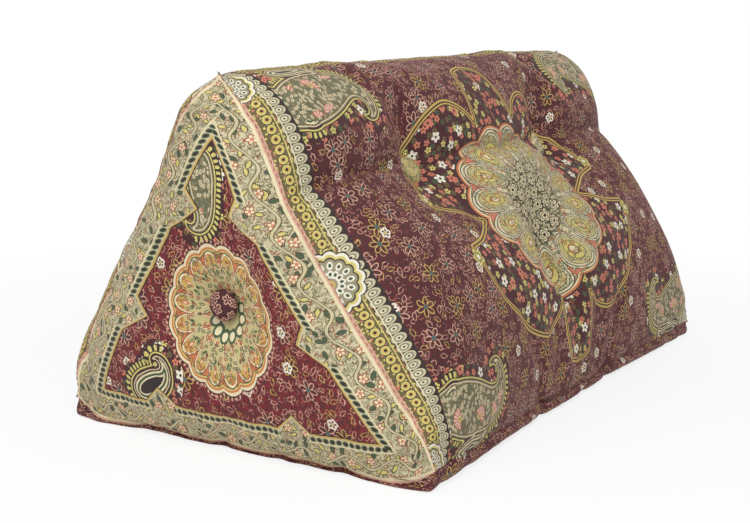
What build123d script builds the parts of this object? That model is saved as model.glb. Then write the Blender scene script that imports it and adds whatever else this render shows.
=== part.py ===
from build123d import *
import math
import os

os.makedirs("parts", exist_ok=True)

# A floor back-rest cushion: a stuffed triangular prism, tufted through with covered buttons.
# X runs along the ridge, the front panel faces -Y and up, and the base panel rests on Z = 0.
# The origin is at the middle of the base. All sizes are in millimetres.

# The sewn triangle that the seams follow
length = 740
base_width = 450
seam_height = 352
base_drop = 18

# How far each seam is drawn in at the middle of the cushion
seam_draw_in = 9

# Crown of the long panels, measured outwards from the line between two seams. The roll is the
# part above the upper tufts, the body is the part below, and the fold is the line between them.
shoulder_run = 36
shoulder_rise = 33
roll_crown = 45
fold_rise = 17
panel_crown = 48
base_shoulder_rise = 15
base_crown = 24

# The same at the end seams, where the panels are nearly flat
end_shoulder_rise = 11
end_roll_crown = 19
end_fold_rise = 16
end_side_crown = 20
end_base_crown = 16

# Crown of the two end panels
end_crown = 22

# Layers, from the outside in, with a little air between curved faces
cover_thickness = 1.5
lining_thickness = 1.0
wadding_thickness = 14
layer_gap = 0.5
core_edge_radius = 25

# Covered buttons
button_radius = 16
button_height = 9
button_rim = 3
button_wall = 1.2
button_ring_shares = (0, 0.3, 0.55, 0.78, 1)
back_plate_thickness = 1.6
loop_radius = 4
loop_wire_radius = 0.9
loop_leg = 5
loop_wire_sides = 8

# Tufts: the flat seat under a button, its height above the sewn triangle, and how wide it flares
seat_margin = 2
seat_height = 2
tuft_flare = 128
end_seat_height = 5
end_tuft_flare = 66

# Where the tufts are. The upper pair stand apart along the ridge, the lower one is at the middle.
upper_tuft_spread = 310
upper_tuft_drop = 130
lower_tuft_drop = 293
end_tuft_height = 134
end_tuft_offset = 0

# How far round a tuft's rolled wall each of its rings is
wall_step_shares = (0.3, 0.6, 1)

# Tufting twine and its knots
twine_radius = 1.0
knot_radius = 3.2
knot_sides = 8
bore_clearance = 0.3

# Places of the sections along half the cushion, and how full the cushion is there
section_place_shares = (0, 0.22, 0.42, 0.62, 0.78, 0.9, 0.97, 1)
section_fullness_shares = (1, 1, 1, 0.94, 0.82, 0.6, 0.3, 0)

# Sections of an end panel's dome: how far out they are, and their size
dome_height_shares = (0, 0.5, 0.86, 1)
dome_size_shares = (1, 0.91, 0.72, 0.5)

half_length = length / 2
half_width = base_width / 2
slant = math.hypot(half_width, seam_height)
inscribed_radius = base_width * seam_height / (base_width + 2 * slant)
centre = Vector(0, base_drop + inscribed_radius)
front_corner = Vector(-half_width, base_drop)
back_corner = Vector(half_width, base_drop)
ridge_corner = Vector(0, base_drop + seam_height)

lining_inset = cover_thickness + layer_gap
wadding_inset = lining_inset + lining_thickness + layer_gap
core_inset = wadding_inset + wadding_thickness
button_reach = loop_leg + loop_radius
seat_radius = button_radius + seat_margin
beyond = length


def pulled_in(corner, inset, draw):
    """A corner of the sewn triangle, moved in by an inset of its sides and then drawn in further."""
    inner = centre + (corner - centre) * ((inscribed_radius - inset) / inscribed_radius)
    return inner + (centre - inner).normalized() * draw


def between(low, high, share):
    return low + (high - low) * share


def side_arcs(start, end, rise, crowns, fold=None):
    """One side of a section: a shoulder, a crown to each side of the fold, and a shoulder."""
    along = (end - start).normalized()
    outward = Vector(along.Y, -along.X)
    first = start + along * shoulder_run + outward * rise
    last = end - along * shoulder_run + outward * rise
    stops = [first, last]
    if fold:
        fold_place, fold_height = fold
        stops.insert(1, start + along * fold_place + outward * fold_height)
    crown_arcs = []
    for stop, next_stop, crown in zip(stops, stops[1:], crowns):
        half_way = ((stop + next_stop) * 0.5 - start).dot(along)
        crown_arcs.append(ThreePointArc(stop, start + along * half_way + outward * crown, next_stop))
    first_arc = TangentArc(first, start, tangent=(crown_arcs[0] % 0) * -1)
    last_arc = TangentArc(last, end, tangent=crown_arcs[-1] % 1)
    return [first_arc] + crown_arcs + [last_arc]


def section(place, fullness, inset, size=1):
    """The cushion's outline at one place along its length, as a face across X."""
    draw = seam_draw_in * fullness
    front, back, ridge = [pulled_in(c, inset, draw) for c in (front_corner, back_corner, ridge_corner)]
    rise = between(end_shoulder_rise, shoulder_rise, fullness)
    roll = between(end_roll_crown, roll_crown, fullness)
    crown = between(end_side_crown, panel_crown, fullness)
    fold_height = between(end_fold_rise, fold_rise, fullness)
    low_rise = between(end_shoulder_rise, base_shoulder_rise, fullness)
    low_crown = between(end_base_crown, base_crown, fullness)
    run = (ridge - front).length
    fold_place = upper_tuft_drop * run / slant
    edges = side_arcs(front, back, low_rise, [low_crown])
    edges += side_arcs(back, ridge, rise, [crown, roll], (run - fold_place, fold_height))
    edges += side_arcs(ridge, front, rise, [roll, crown], (fold_place, fold_height))
    outline = make_face(Wire(edges))
    if size != 1:
        middle = Vector(end_tuft_offset, base_drop + end_tuft_height)
        outline = Pos(middle.X, middle.Y) * scale(Pos(-middle.X, -middle.Y) * outline, by=size)
    across = Plane(origin=(place, 0, 0), x_dir=(0, 1, 0), z_dir=(1, 0, 0))
    return across * outline


def stuffed_form(inset):
    """The cushion's whole crowned form, with every side moved in by the inset."""
    end_place = half_length - inset
    half = list(zip(section_place_shares, section_fullness_shares))
    whole = [(-place, fullness) for place, fullness in half[:0:-1]] + half
    form = loft([section(end_place * place, fullness, inset) for place, fullness in whole], ruled=True)
    for side in (-1, 1):
        dome = []
        for rise_share, size_share in zip(dome_height_shares, dome_size_shares):
            dome.append(section(side * (end_place + end_crown * rise_share), 0, inset, size_share))
        form += loft(dome, ruled=True)
    for hollow in tuft_hollows(inset):
        form -= hollow
    below_floor = Pos(0, 0, inset - beyond) * Box(4 * beyond, 4 * beyond, 2 * beyond)
    return form - below_floor


def hollow_tool(bottom, rim, flare):
    """The space that a tuft draws down: a flat seat, then a wall that rolls over to the crown."""
    run = flare - seat_radius
    drop = rim - bottom
    roll_radius = (run ** 2 + drop ** 2) / (2 * drop)
    steepest = math.asin(run / roll_radius)
    profile = [(0, rim + flare), (0, bottom), (seat_radius, bottom)]
    for share in wall_step_shares:
        turn = steepest * (1 - share)
        profile.append((flare - roll_radius * math.sin(turn), rim - roll_radius * (1 - math.cos(turn))))
    profile.append((flare, rim + flare))
    return revolve(Plane.XZ * make_face(Polyline(*profile, close=True)), Axis.Z)


def long_side_seat(drop, place, side):
    """A frame on the front (-1) or back (1) side of the sewn triangle, with its Z pointing out."""
    share = drop / slant
    origin = (place, side * half_width * share, base_drop + seam_height * (1 - share))
    return Plane(origin=origin, x_dir=(1, 0, 0), z_dir=(0, side * seam_height, half_width))


def end_seat(side):
    origin = (side * half_length, end_tuft_offset, base_drop + end_tuft_height)
    return Plane(origin=origin, x_dir=(0, 1, 0), z_dir=(side, 0, 0))


# Each tuft: the name of its twine, its drop from the ridge along the panel, and its place along X
long_tufts = (
    ("near_upper", upper_tuft_drop, -upper_tuft_spread / 2),
    ("far_upper", upper_tuft_drop, upper_tuft_spread / 2),
    ("lower", lower_tuft_drop, 0),
)
long_sides = (("front", -1), ("back", 1))
end_sides = (("near_end", -1), ("far_end", 1))


def tuft_frames():
    """Name, frame and seat height of every button."""
    frames = []
    for side_name, side in long_sides:
        for tuft_name, drop, place in long_tufts:
            name = side_name + "_" + tuft_name
            frames.append((name, long_side_seat(drop, place, side), seat_height))
    for end_name, side in end_sides:
        frames.append((end_name, end_seat(side), end_seat_height))
    return frames


def tuft_hollows(inset):
    hollows = []
    for side_name, side in long_sides:
        for tuft_name, drop, place in long_tufts:
            tool = hollow_tool(seat_height - inset, panel_crown + seat_margin - inset, tuft_flare)
            hollows.append(long_side_seat(drop, place, side).location * tool)
    for end_name, side in end_sides:
        tool = hollow_tool(end_seat_height - inset, end_crown + seat_margin - inset, end_tuft_flare)
        hollows.append(end_seat(side).location * tool)
    return hollows


def button_cap():
    """The domed shell of a covered button, open below."""
    dome = button_solid(button_radius, button_height)
    return dome - button_solid(button_radius - button_wall, button_height - button_wall)


def button_solid(radius, top):
    """A button's body: a short straight rim, then rings that round over to its top."""
    profile = [(0, 0), (radius, 0)]
    for share in button_ring_shares:
        turn = math.pi / 2 * share
        profile.append((radius * math.cos(turn), button_rim + (top - button_rim) * math.sin(turn)))
    return revolve(Plane.XZ * make_face(Polyline(*profile, close=True)), Axis.Z)


def button_back():
    """The plate that closes a button, with its wire loop."""
    plate_radius = button_radius - button_wall - layer_gap
    back = extrude(Circle(plate_radius), back_plate_thickness)
    wire = RegularPolygon(loop_wire_radius, loop_wire_sides)
    leg = extrude(wire, loop_leg + back_plate_thickness / 2)
    for side in (-1, 1):
        back += Pos(side * loop_radius, 0, -loop_leg) * leg
    ring = revolve(Plane.XZ * Pos(loop_radius, 0) * wire, Axis.Z, 180)
    return back + Pos(0, 0, -loop_leg) * Rot(-90, 0, 0) * ring


def straight_rod(start, end, radius):
    path = end - start
    return extrude(Plane(origin=start, z_dir=path) * Circle(radius), path.length)


def knot_place(frame, height):
    """The middle of the knot in a button's loop."""
    return frame.from_local_coords(Vector(0, 0, height - button_reach))


def knot(frame, height):
    """A knot tied round the loop, with the loop's own room cut through it."""
    room = RegularPolygon(loop_wire_radius + bore_clearance, loop_wire_sides)
    ring = revolve(Plane.XZ * Pos(loop_radius, 0) * room, Axis.Z)
    right_half = Pos(knot_radius, 0) * Rectangle(2 * knot_radius, 2 * knot_radius)
    ball = revolve(Plane.XZ * (RegularPolygon(knot_radius, knot_sides) & right_half), Axis.Z)
    tied = Pos(0, 0, -loop_radius) * ball - Rot(-90, 0, 0) * ring
    return frame.location * Pos(0, 0, height - loop_leg) * tied


def twine_ends():
    """Each twine's name, the frames at its two ends, and the seat height of its buttons."""
    ends = []
    for tuft_name, drop, place in long_tufts:
        front_frame = long_side_seat(drop, place, -1)
        back_frame = long_side_seat(drop, place, 1)
        ends.append((tuft_name + "_twine", front_frame, back_frame, seat_height))
    ends.append(("lengthwise_twine", end_seat(-1), end_seat(1), end_seat_height))
    return ends


def tufting_twine(first_frame, second_frame, height):
    """One length of twine, straight through the stuffing, knotted to a button at each end."""
    start = knot_place(first_frame, height)
    end = knot_place(second_frame, height)
    step = (end - start).normalized() * (loop_wire_radius + bore_clearance)
    twine = straight_rod(start + step, end - step, twine_radius)
    return twine + knot(first_frame, height) + knot(second_frame, height)


def stuffing_bores():
    """The room that twines, loops and knots take in the layers."""
    bores = []
    for name, first_frame, second_frame, height in twine_ends():
        start = knot_place(first_frame, height)
        end = knot_place(second_frame, height)
        bores.append(straight_rod(start, end, twine_radius + bore_clearance))
    loop_room = max(loop_radius + loop_wire_radius, knot_radius) + bore_clearance
    depth = button_reach + knot_radius + bore_clearance
    for name, frame, height in tuft_frames():
        room = extrude(Circle(loop_room), depth + button_height)
        bores.append(frame.location * Pos(0, 0, height - depth) * room)
    return bores


def core_block(inset):
    """The firm core: a straight-cut triangular block with eased long edges."""
    corners = [pulled_in(c, inset, 0) for c in (front_corner, back_corner, ridge_corner)]
    outline = make_face(Polyline(*[(c.X, c.Y) for c in corners], close=True))
    outline = fillet(outline.vertices(), core_edge_radius)
    end_place = half_length - inset
    across = Plane(origin=(-end_place, 0, 0), x_dir=(0, 1, 0), z_dir=(1, 0, 0))
    return extrude(across * outline, 2 * end_place)


def sector(first_corner, second_corner):
    """A wedge from the middle of the cushion out past one long panel, as long as that panel."""
    reach = 2
    outer = [centre + (c - centre) * reach for c in (first_corner, second_corner)]
    outline = make_face(Polyline(*[(c.X, c.Y) for c in [centre] + outer], close=True))
    across = Plane(origin=(-half_length, 0, 0), x_dir=(0, 1, 0), z_dir=(1, 0, 0))
    return extrude(across * outline, length)


def past(place, side):
    """All the space past a place on the X axis, on one side."""
    return Pos(side * (place + beyond), 0, 0) * Box(2 * beyond, 2 * beyond, 4 * beyond)


def keep(name, shape):
    export_step(shape, "parts/" + name + ".step")
    print(name, len(shape.solids()), round(shape.volume))


bores = stuffing_bores()


def bored(shape):
    for bore in bores:
        shape -= bore
    return shape


# The cover: five sewn panels that meet along the seams
cover = bored(stuffed_form(0) - stuffed_form(cover_thickness))
keep("front_panel", cover & sector(ridge_corner, front_corner))
keep("back_panel", cover & sector(back_corner, ridge_corner))
keep("base_panel", cover & sector(front_corner, back_corner))
for end_name, side in end_sides:
    keep(end_name + "_panel", cover & past(half_length, side))

# The lining bag inside the cover
lining = stuffed_form(lining_inset) - stuffed_form(lining_inset + lining_thickness)
keep("lining_bag", bored(lining))

# The wadding: one wrap round the core's long sides, and a pad at each end
wadding = bored(stuffed_form(wadding_inset) - core_block(core_inset - layer_gap))
pad_place = half_length - core_inset + layer_gap
wrap = wadding
for end_name, side in end_sides:
    keep(end_name + "_wadding", wadding & past(pad_place, side))
    wrap -= past(pad_place, side)
keep("wadding_wrap", wrap)

keep("foam_core", bored(core_block(core_inset)))

# The buttons and twines, which are alike, in groups by where they are
for group in ("front", "back", "end"):
    caps = []
    backs = []
    for name, frame, height in tuft_frames():
        if group in name:
            seat = frame.location * Pos(0, 0, height)
            caps += (seat * button_cap()).solids()
            backs += (seat * button_back()).solids()
    keep(group + "_button_caps", Compound(caps))
    keep(group + "_button_backs", Compound(backs))

cross_twines = []
for name, first_frame, second_frame, height in twine_ends():
    twine = tufting_twine(first_frame, second_frame, height)
    if name == "lengthwise_twine":
        keep(name, twine)
    else:
        cross_twines += twine.solids()
keep("cross_twines", Compound(cross_twines))
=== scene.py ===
import contextlib
import math

import bmesh
import bpy
import numpy as np
from mathutils import Euler, Matrix, Vector, noise


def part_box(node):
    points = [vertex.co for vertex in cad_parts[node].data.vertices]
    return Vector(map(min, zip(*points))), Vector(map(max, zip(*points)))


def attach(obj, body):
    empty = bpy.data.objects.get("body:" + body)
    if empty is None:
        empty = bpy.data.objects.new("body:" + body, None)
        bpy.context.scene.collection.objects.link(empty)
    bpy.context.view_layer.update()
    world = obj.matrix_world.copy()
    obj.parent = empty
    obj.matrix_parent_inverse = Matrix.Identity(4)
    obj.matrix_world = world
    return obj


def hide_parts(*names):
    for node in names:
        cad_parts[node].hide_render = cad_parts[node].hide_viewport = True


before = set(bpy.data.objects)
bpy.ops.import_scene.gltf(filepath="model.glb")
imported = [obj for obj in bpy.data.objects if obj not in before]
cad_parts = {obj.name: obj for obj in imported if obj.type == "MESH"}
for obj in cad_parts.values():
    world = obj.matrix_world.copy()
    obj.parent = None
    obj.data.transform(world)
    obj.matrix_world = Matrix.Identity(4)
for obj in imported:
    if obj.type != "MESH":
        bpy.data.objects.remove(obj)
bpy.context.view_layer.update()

# A triangular floor back-rest cushion in woven brocade, tufted through with covered buttons.
# Everything is in metres, in the cushion's own frame: X along the ridge, the front panel facing -Y.

MM = 0.001
MM_IN_METRE = 1000
BODY = "root"

# Sizes of the sewn triangle, read from the frame
half_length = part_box("front_panel")[1][0]
half_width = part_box("base_panel")[1][1]
base_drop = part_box("front_panel")[0][2]
ridge_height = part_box("front_panel")[1][2]
seam_height = ridge_height - base_drop
slant = math.hypot(half_width, seam_height)
length = 2 * half_length

# The camera, matched to the photograph: its place, and its turn from +Y towards +X, tilt and roll
# in degrees
PHOTO_WIDTH = 750
camera_place = (-1.387, -0.770, 0.441)
camera_turn = 59.1
camera_tilt = -11.0
camera_roll = 0.7
camera_focus_px = 1368
FULL_FRAME = 36

# Two lamps, aimed at the cushion's middle: places, sizes in metres and powers in watts
light_aim = (0, 0, 0.15)
key_place, key_size, key_power = (-1.3, -0.9, 2.2), 1.1, 34
fill_place, fill_size, fill_power = (-2.2, 0.2, 0.9), 1.3, 10


def values_of(items, key, width=1, kind=float):
    """One value, or a row of them, for every item of a mesh."""
    values = np.empty(len(items) * width, dtype=kind)
    items.foreach_get(key, values)
    return values.reshape(-1, width) if width > 1 else values


def points_of(mesh):
    return values_of(mesh.vertices, "co", 3)


def normals_of(mesh):
    return values_of(mesh.vertex_normals, "vector", 3)


def move_points(mesh, points):
    mesh.vertices.foreach_set("co", points.ravel())
    mesh.update()


@contextlib.contextmanager
def opened(mesh):
    """A mesh open for editing, whose faces point outwards when it is closed again."""
    work = bmesh.new()
    work.from_mesh(mesh)
    yield work
    bmesh.ops.recalc_face_normals(work, faces=work.faces)
    work.to_mesh(mesh)
    work.free()


def add_camera():
    data = bpy.data.cameras.new("photo_camera")
    data.sensor_width = FULL_FRAME
    data.lens = camera_focus_px * data.sensor_width / PHOTO_WIDTH
    camera = bpy.data.objects.new("photo_camera", data)
    camera.location = camera_place
    level = Euler((math.radians(90 + camera_tilt), 0, -math.radians(camera_turn))).to_matrix()
    camera.rotation_euler = (level @ Matrix.Rotation(math.radians(camera_roll), 3, "Z")).to_euler()
    bpy.context.scene.collection.objects.link(camera)
    bpy.context.scene.camera = camera


def add_light(name, place, aim, size, power):
    data = bpy.data.lights.new(name, "AREA")
    data.shape = "DISK"
    data.size = size
    data.energy = power
    light = bpy.data.objects.new(name, data)
    light.location = place
    direction = Vector(aim) - Vector(place)
    light.rotation_euler = direction.to_track_quat("-Z", "Y").to_euler()
    bpy.context.scene.collection.objects.link(light)


add_camera()
add_light("key_light", key_place, light_aim, key_size, key_power)
add_light("fill_light", fill_place, light_aim, fill_size, fill_power)
scene = bpy.context.scene
scene.view_settings.view_transform = "Standard"

# The cover as one closed cloth: three long panels as grids and two end panels as triangles
CELLS_ALONG = 80
CELLS_ACROSS = 46
PANELS = ("front_panel", "back_panel", "base_panel", "near_end_panel", "far_end_panel")

# The stuffed form that the cloth starts from. A long panel has a roll above the fold that joins
# the upper tufts, and a body below it. Each size is given at the cushion's middle and at its ends.
START_FILL = 0.94
shoulder_run = 36 * MM
seam_draw_in = 9 * MM
fold_drop = 130 * MM
shoulder_rise = (33 * MM, 11 * MM)
roll_crown = (45 * MM, 19 * MM)
fold_rise = (17 * MM, 16 * MM)
body_crown = (48 * MM, 20 * MM)
base_shoulder_rise = (15 * MM, 11 * MM)
base_crown = (24 * MM, 16 * MM)
end_crown = 22 * MM
FULLNESS_POWER = 5.0
FULLNESS_ROOT = 0.6
END_FULLNESS = 81
ARC_STEPS = 24

ridge_corner = np.array([0.0, ridge_height])
front_corner = np.array([-half_width, base_drop])
back_corner = np.array([half_width, base_drop])
inscribed_radius = half_width * seam_height / (half_width + slant)
middle = np.array([0.0, base_drop + inscribed_radius])


def fullness(place):
    """How full the cushion is at a place from -1 to 1 along it."""
    return (1 - abs(place) ** FULLNESS_POWER) ** FULLNESS_ROOT


def at_fullness(sizes, full):
    in_middle, at_end = sizes
    return at_end + (in_middle - at_end) * full


def drawn_in(corner, full):
    toward = (middle - corner) / np.linalg.norm(middle - corner)
    return corner + toward * seam_draw_in * full


def arc_from(start, end, tangent):
    """Points of the arc that leaves its start along a tangent and reaches its end."""
    tangent = tangent / np.linalg.norm(tangent)
    normal = np.array([-tangent[1], tangent[0]])
    reach = end - start
    bend = 2 * (reach @ normal) / (reach @ reach)
    turn = 2 * math.atan2(reach @ normal, reach @ tangent)
    share = np.linspace(0, 1, ARC_STEPS)[:, None]
    if abs(turn) < 1e-6:
        return start + reach * share
    angle = turn * share
    return start + (tangent * np.sin(angle) + normal * (1 - np.cos(angle))) / bend


def arc_through(start, mid, end):
    """Points of the arc through three points, and its directions at both ends."""
    b, c = end - start, mid - start
    leave = c / (c @ c) * (b @ b) - b
    leave = b if np.linalg.norm(leave) < 1e-9 else leave
    if leave @ c < 0:
        leave = -leave
    line = arc_from(start, end, leave)
    return line, leave, line[-1] - line[-2]


def side_profile(run, rise, crowns, fold=None):
    """A panel's outline across the cushion, evenly stepped: places along the chord and heights."""
    first = np.array([shoulder_run, rise])
    last = np.array([run - shoulder_run, rise])
    stops = [first, last] if fold is None else [first, np.array(fold), last]
    pieces = []
    for stop, next_stop, crown in zip(stops, stops[1:], crowns):
        top = np.array([(stop[0] + next_stop[0]) / 2, crown])
        pieces.append(arc_through(stop, top, next_stop))
    opening = arc_from(first, np.array([0.0, 0.0]), -pieces[0][1])[::-1]
    closing = arc_from(last, np.array([run, 0.0]), pieces[-1][2])
    line = np.concatenate([opening] + [piece[0] for piece in pieces] + [closing])
    far = np.concatenate([[0], np.cumsum(np.linalg.norm(np.diff(line, axis=0), axis=1))])
    steps = np.linspace(0, far[-1], CELLS_ACROSS + 1)
    return np.interp(steps, far, line[:, 0]), np.interp(steps, far, line[:, 1])


def long_panel_points(first, second, crown_sizes, rise_sizes, ridge_at=None):
    """The grid of a long panel: rows run along X, columns from the first corner to the second."""
    rows = []
    for place in np.linspace(-1, 1, CELLS_ALONG + 1):
        full = fullness(place)
        start = drawn_in(first, full)
        end = drawn_in(second, full)
        run = np.linalg.norm(end - start)
        crowns = [at_fullness(sizes, full) * START_FILL for sizes in crown_sizes]
        rise = at_fullness(rise_sizes, full) * START_FILL
        fold = None
        if ridge_at is not None:
            fold_place = fold_drop * run / slant
            fold_place = fold_place if ridge_at == "first" else run - fold_place
            fold = (fold_place, at_fullness(fold_rise, full) * START_FILL)
        along_chord, height = side_profile(run, rise, crowns, fold)
        unit = (end - start) / run
        outward = np.array([-unit[1], unit[0]])
        flat = start + unit * along_chord[:, None] + outward * height[:, None]
        rows.append(np.column_stack([np.full(len(flat), place * half_length), flat]))
    return np.array(rows)


# Tufts on a long panel: place along X and drop from the ridge, then on an end panel: y and height
upper_tuft_spread = 310 * MM
upper_tuft_drop = 130 * MM
lower_tuft_drop = 293 * MM
end_tuft_offset = 0
end_tuft_height = 134 * MM
seat_height = 2 * MM
end_seat_height = 5 * MM
button_radius = 16 * MM
seat_radius = 18 * MM
tuft_rim = 48 * MM
tuft_flare = 128 * MM
end_tuft_rim = 19 * MM
end_tuft_flare = 66 * MM
TUFT_SOFTNESS = 4 * MM
TUFT_DEPTH = 60 * MM


def tuft_places():
    """Each tuft: its name, its seat's middle, and the direction that it faces."""
    places = []
    for side_name, side in (("front", -1), ("back", 1)):
        outward = Vector((0, side * seam_height, half_width)).normalized()
        for name, x, drop in (
            ("near_upper", -upper_tuft_spread / 2, upper_tuft_drop),
            ("far_upper", upper_tuft_spread / 2, upper_tuft_drop),
            ("lower", 0, lower_tuft_drop),
        ):
            share = drop / slant
            on_chord = Vector((x, side * half_width * share, ridge_height - seam_height * share))
            places.append((side_name + "_" + name, on_chord + outward * seat_height, outward))
    for name, side in (("near_end", -1), ("far_end", 1)):
        out = side * (half_length + end_seat_height)
        seat = Vector((out, end_tuft_offset, base_drop + end_tuft_height))
        places.append((name, seat, Vector((side, 0, 0))))
    return places


def end_panel_points(side, edges):
    """A triangular grid whose three edges follow the long panels: row i has i + 1 points."""
    corners = np.array([ridge_corner, front_corner, back_corner])
    rows = []
    for i in range(CELLS_ACROSS + 1):
        down = i / CELLS_ACROSS
        across = np.linspace(0, 1, i + 1) if i else np.array([0.5])
        weights = np.stack([np.full(i + 1, 1 - down), (1 - across) * down, across * down], axis=1)
        flat = weights @ corners
        for (first, second), edge in edges.items():
            both = weights[:, first] + weights[:, second]
            place = np.divide(weights[:, second], both, out=np.zeros(i + 1), where=both > 0)
            step = np.linspace(0, 1, CELLS_ACROSS + 1)
            chord = corners[first] + (corners[second] - corners[first]) * place[:, None]
            on_edge = np.column_stack([np.interp(place, step, edge[:, k]) for k in range(2)])
            flat = flat + (on_edge - chord) * both[:, None] ** 2
        swell = end_crown * START_FILL * (1 - np.exp(-END_FULLNESS * weights.prod(axis=1)))
        rows.append(np.column_stack([side * (half_length + swell), flat]))
    return rows


def build_cover():
    """The closed cover: one mesh, a material index for each panel, and flat cloth places as UVs."""
    points, faces, panel_of, cloth_uv = [], [], [], []
    found = {}

    def vertex(p):
        key = tuple(int(round(c * 1e5)) for c in p)
        if key not in found:
            found[key] = len(points)
            points.append(tuple(p))
        return found[key]

    def add_face(corners, uvs, panel):
        faces.append(corners)
        cloth_uv.extend(uvs)
        panel_of.append(panel)

    long_panels = (
        (front_corner, ridge_corner, (body_crown, roll_crown), shoulder_rise, "second", -1),
        (ridge_corner, back_corner, (roll_crown, body_crown), shoulder_rise, "first", 1),
        (back_corner, front_corner, (base_crown,), base_shoulder_rise, None, 0),
    )
    grids = []
    for panel, (first, second, crowns, rises, ridge_at, side) in enumerate(long_panels):
        grid = long_panel_points(first, second, crowns, rises, ridge_at)
        grids.append(grid)
        width = np.linalg.norm(second - first)
        ids = [[vertex(p) for p in row] for row in grid]
        for i in range(CELLS_ALONG):
            for j in range(CELLS_ACROSS):
                square = [(i, j), (i + 1, j), (i + 1, j + 1), (i, j + 1)]
                corners = [ids[a][b] for a, b in square]
                uvs = []
                for a, b in square:
                    x = (a / CELLS_ALONG - 0.5) * length
                    y = (b / CELLS_ACROSS) * width
                    if side == -1:
                        y = width - y
                    uvs.append((x, y))
                add_face(corners, uvs, panel)
    for panel, side in ((3, -1), (4, 1)):
        at = -1 if side > 0 else 0
        edges = {(0, 1): grids[0][at, ::-1, 1:], (0, 2): grids[1][at, :, 1:], (2, 1): grids[2][at, :, 1:]}
        rows = end_panel_points(side, edges)
        ids = [[vertex(p) for p in row] for row in rows]
        for i in range(CELLS_ACROSS):
            for j in range(i + 1):
                triangles = [((i, j), (i + 1, j), (i + 1, j + 1))]
                if j < i:
                    triangles.append(((i, j), (i + 1, j + 1), (i, j + 1)))
                for triangle in triangles:
                    corners = [ids[a][b] for a, b in triangle]
                    uvs = []
                    for a, b in triangle:
                        down = a / CELLS_ACROSS
                        y = (2 * b / a - 1) * half_width * down if a else 0.0
                        uvs.append((-side * y, seam_height * (1 - down)))
                    add_face(corners, uvs, panel)
    mesh = bpy.data.meshes.new("cover")
    mesh.from_pydata(points, [], faces)
    mesh.polygons.foreach_set("material_index", panel_of)
    layer = mesh.uv_layers.new(name="cloth")
    layer.data.foreach_set("uv", np.array(cloth_uv, dtype=float).ravel())
    mesh.update()
    cover = bpy.data.objects.new("cover", mesh)
    bpy.context.scene.collection.objects.link(cover)
    with opened(mesh):
        pass
    return cover


def under_tuft(away, seat, rim, flare):
    """The height of the cloth round a tuft: flat under the button, then rolling over to the rim."""
    roll_radius = ((flare - seat) ** 2 + rim ** 2) / (2 * rim)
    short = np.clip(flare - np.maximum(away, seat), 0, None)
    return rim - roll_radius + np.sqrt(np.maximum(roll_radius ** 2 - short ** 2, 0))


def soft_least(a, b, softness):
    """The smaller of two heights, with the corner where they meet rounded."""
    blend = np.clip(0.5 + 0.5 * (b - a) / softness, 0, 1)
    return b + (a - b) * blend - softness * blend * (1 - blend)


def draw_down_tufts(points):
    """Draws the cloth down to each tuft's seat."""
    for name, seat, outward in tuft_places():
        at_end = name.endswith("end")
        rim, flare = (end_tuft_rim, end_tuft_flare) if at_end else (tuft_rim, tuft_flare)
        facing = np.array(outward)
        offset = points - np.array(seat)
        height = offset @ facing
        away = np.linalg.norm(offset - height[:, None] * facing, axis=1)
        limit = under_tuft(away, seat_radius, rim, flare)
        lower = soft_least(height, limit, TUFT_SOFTNESS)
        reached = (away < flare) & (height > -TUFT_DEPTH)
        points = points - np.where(reached, height - lower, 0)[:, None] * facing
    return points


cover = build_cover()
points = draw_down_tufts(points_of(cover.data))
move_points(cover.data, points)


def seam_keys(mesh):
    """The edges where two panels meet."""
    edge_panels = {}
    for polygon in mesh.polygons:
        for key in polygon.edge_keys:
            edge_panels.setdefault(key, set()).add(polygon.material_index)
    return {key for key, panels in edge_panels.items() if len(panels) > 1}


# The swelling: how firmly the seams are held, how far round a tuft and a corner the cloth is held,
# the pressure inside, how much the cloth shrinks (less than zero: it grows), and how long it swells
SEAM_HOLD = 0.25
HELD_BUTTON_SHARE = 0.9
HELD_CORNER = 12 * MM
PRESSURE = 4
SHRINK = -0.02
SIM_FRAMES = 20


def sim_cover(cover, start):
    """Lets the cloth swell against its stuffing, held at the corners and the tufts."""
    held = cover.vertex_groups.new(name="held")
    weights = np.zeros(len(start))
    for name, seat, outward in tuft_places():
        away = np.linalg.norm(start - np.array(seat), axis=1)
        weights[away < button_radius * HELD_BUTTON_SHARE] = 1
    for key in seam_keys(cover.data):
        for index in key:
            weights[index] = max(weights[index], SEAM_HOLD)
    for x in (-half_length, half_length):
        for y, z in (ridge_corner, front_corner, back_corner):
            away = np.linalg.norm(start - np.array((x, y, z)), axis=1)
            weights[away < HELD_CORNER] = 1
    for index in np.nonzero(weights)[0]:
        held.add([int(index)], float(weights[index]), "REPLACE")
    cloth = cover.modifiers.new("cloth", "CLOTH")
    settings = cloth.settings
    settings.vertex_group_mass = "held"
    settings.quality = 6
    settings.mass = 0.3
    settings.tension_stiffness = 15
    settings.compression_stiffness = 15
    settings.shear_stiffness = 5
    settings.bending_stiffness = 0.3
    settings.pin_stiffness = 1
    settings.use_pressure = True
    settings.uniform_pressure_force = PRESSURE
    settings.shrink_min = SHRINK
    settings.effector_weights.gravity = 0
    cloth.point_cache.frame_start = 1
    cloth.point_cache.frame_end = SIM_FRAMES
    for frame_number in range(1, SIM_FRAMES + 1):
        bpy.context.scene.frame_set(frame_number)
    seen = cover.evaluated_get(bpy.context.evaluated_depsgraph_get())
    moved = points_of(seen.data)
    cover.modifiers.remove(cloth)
    return moved


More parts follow.
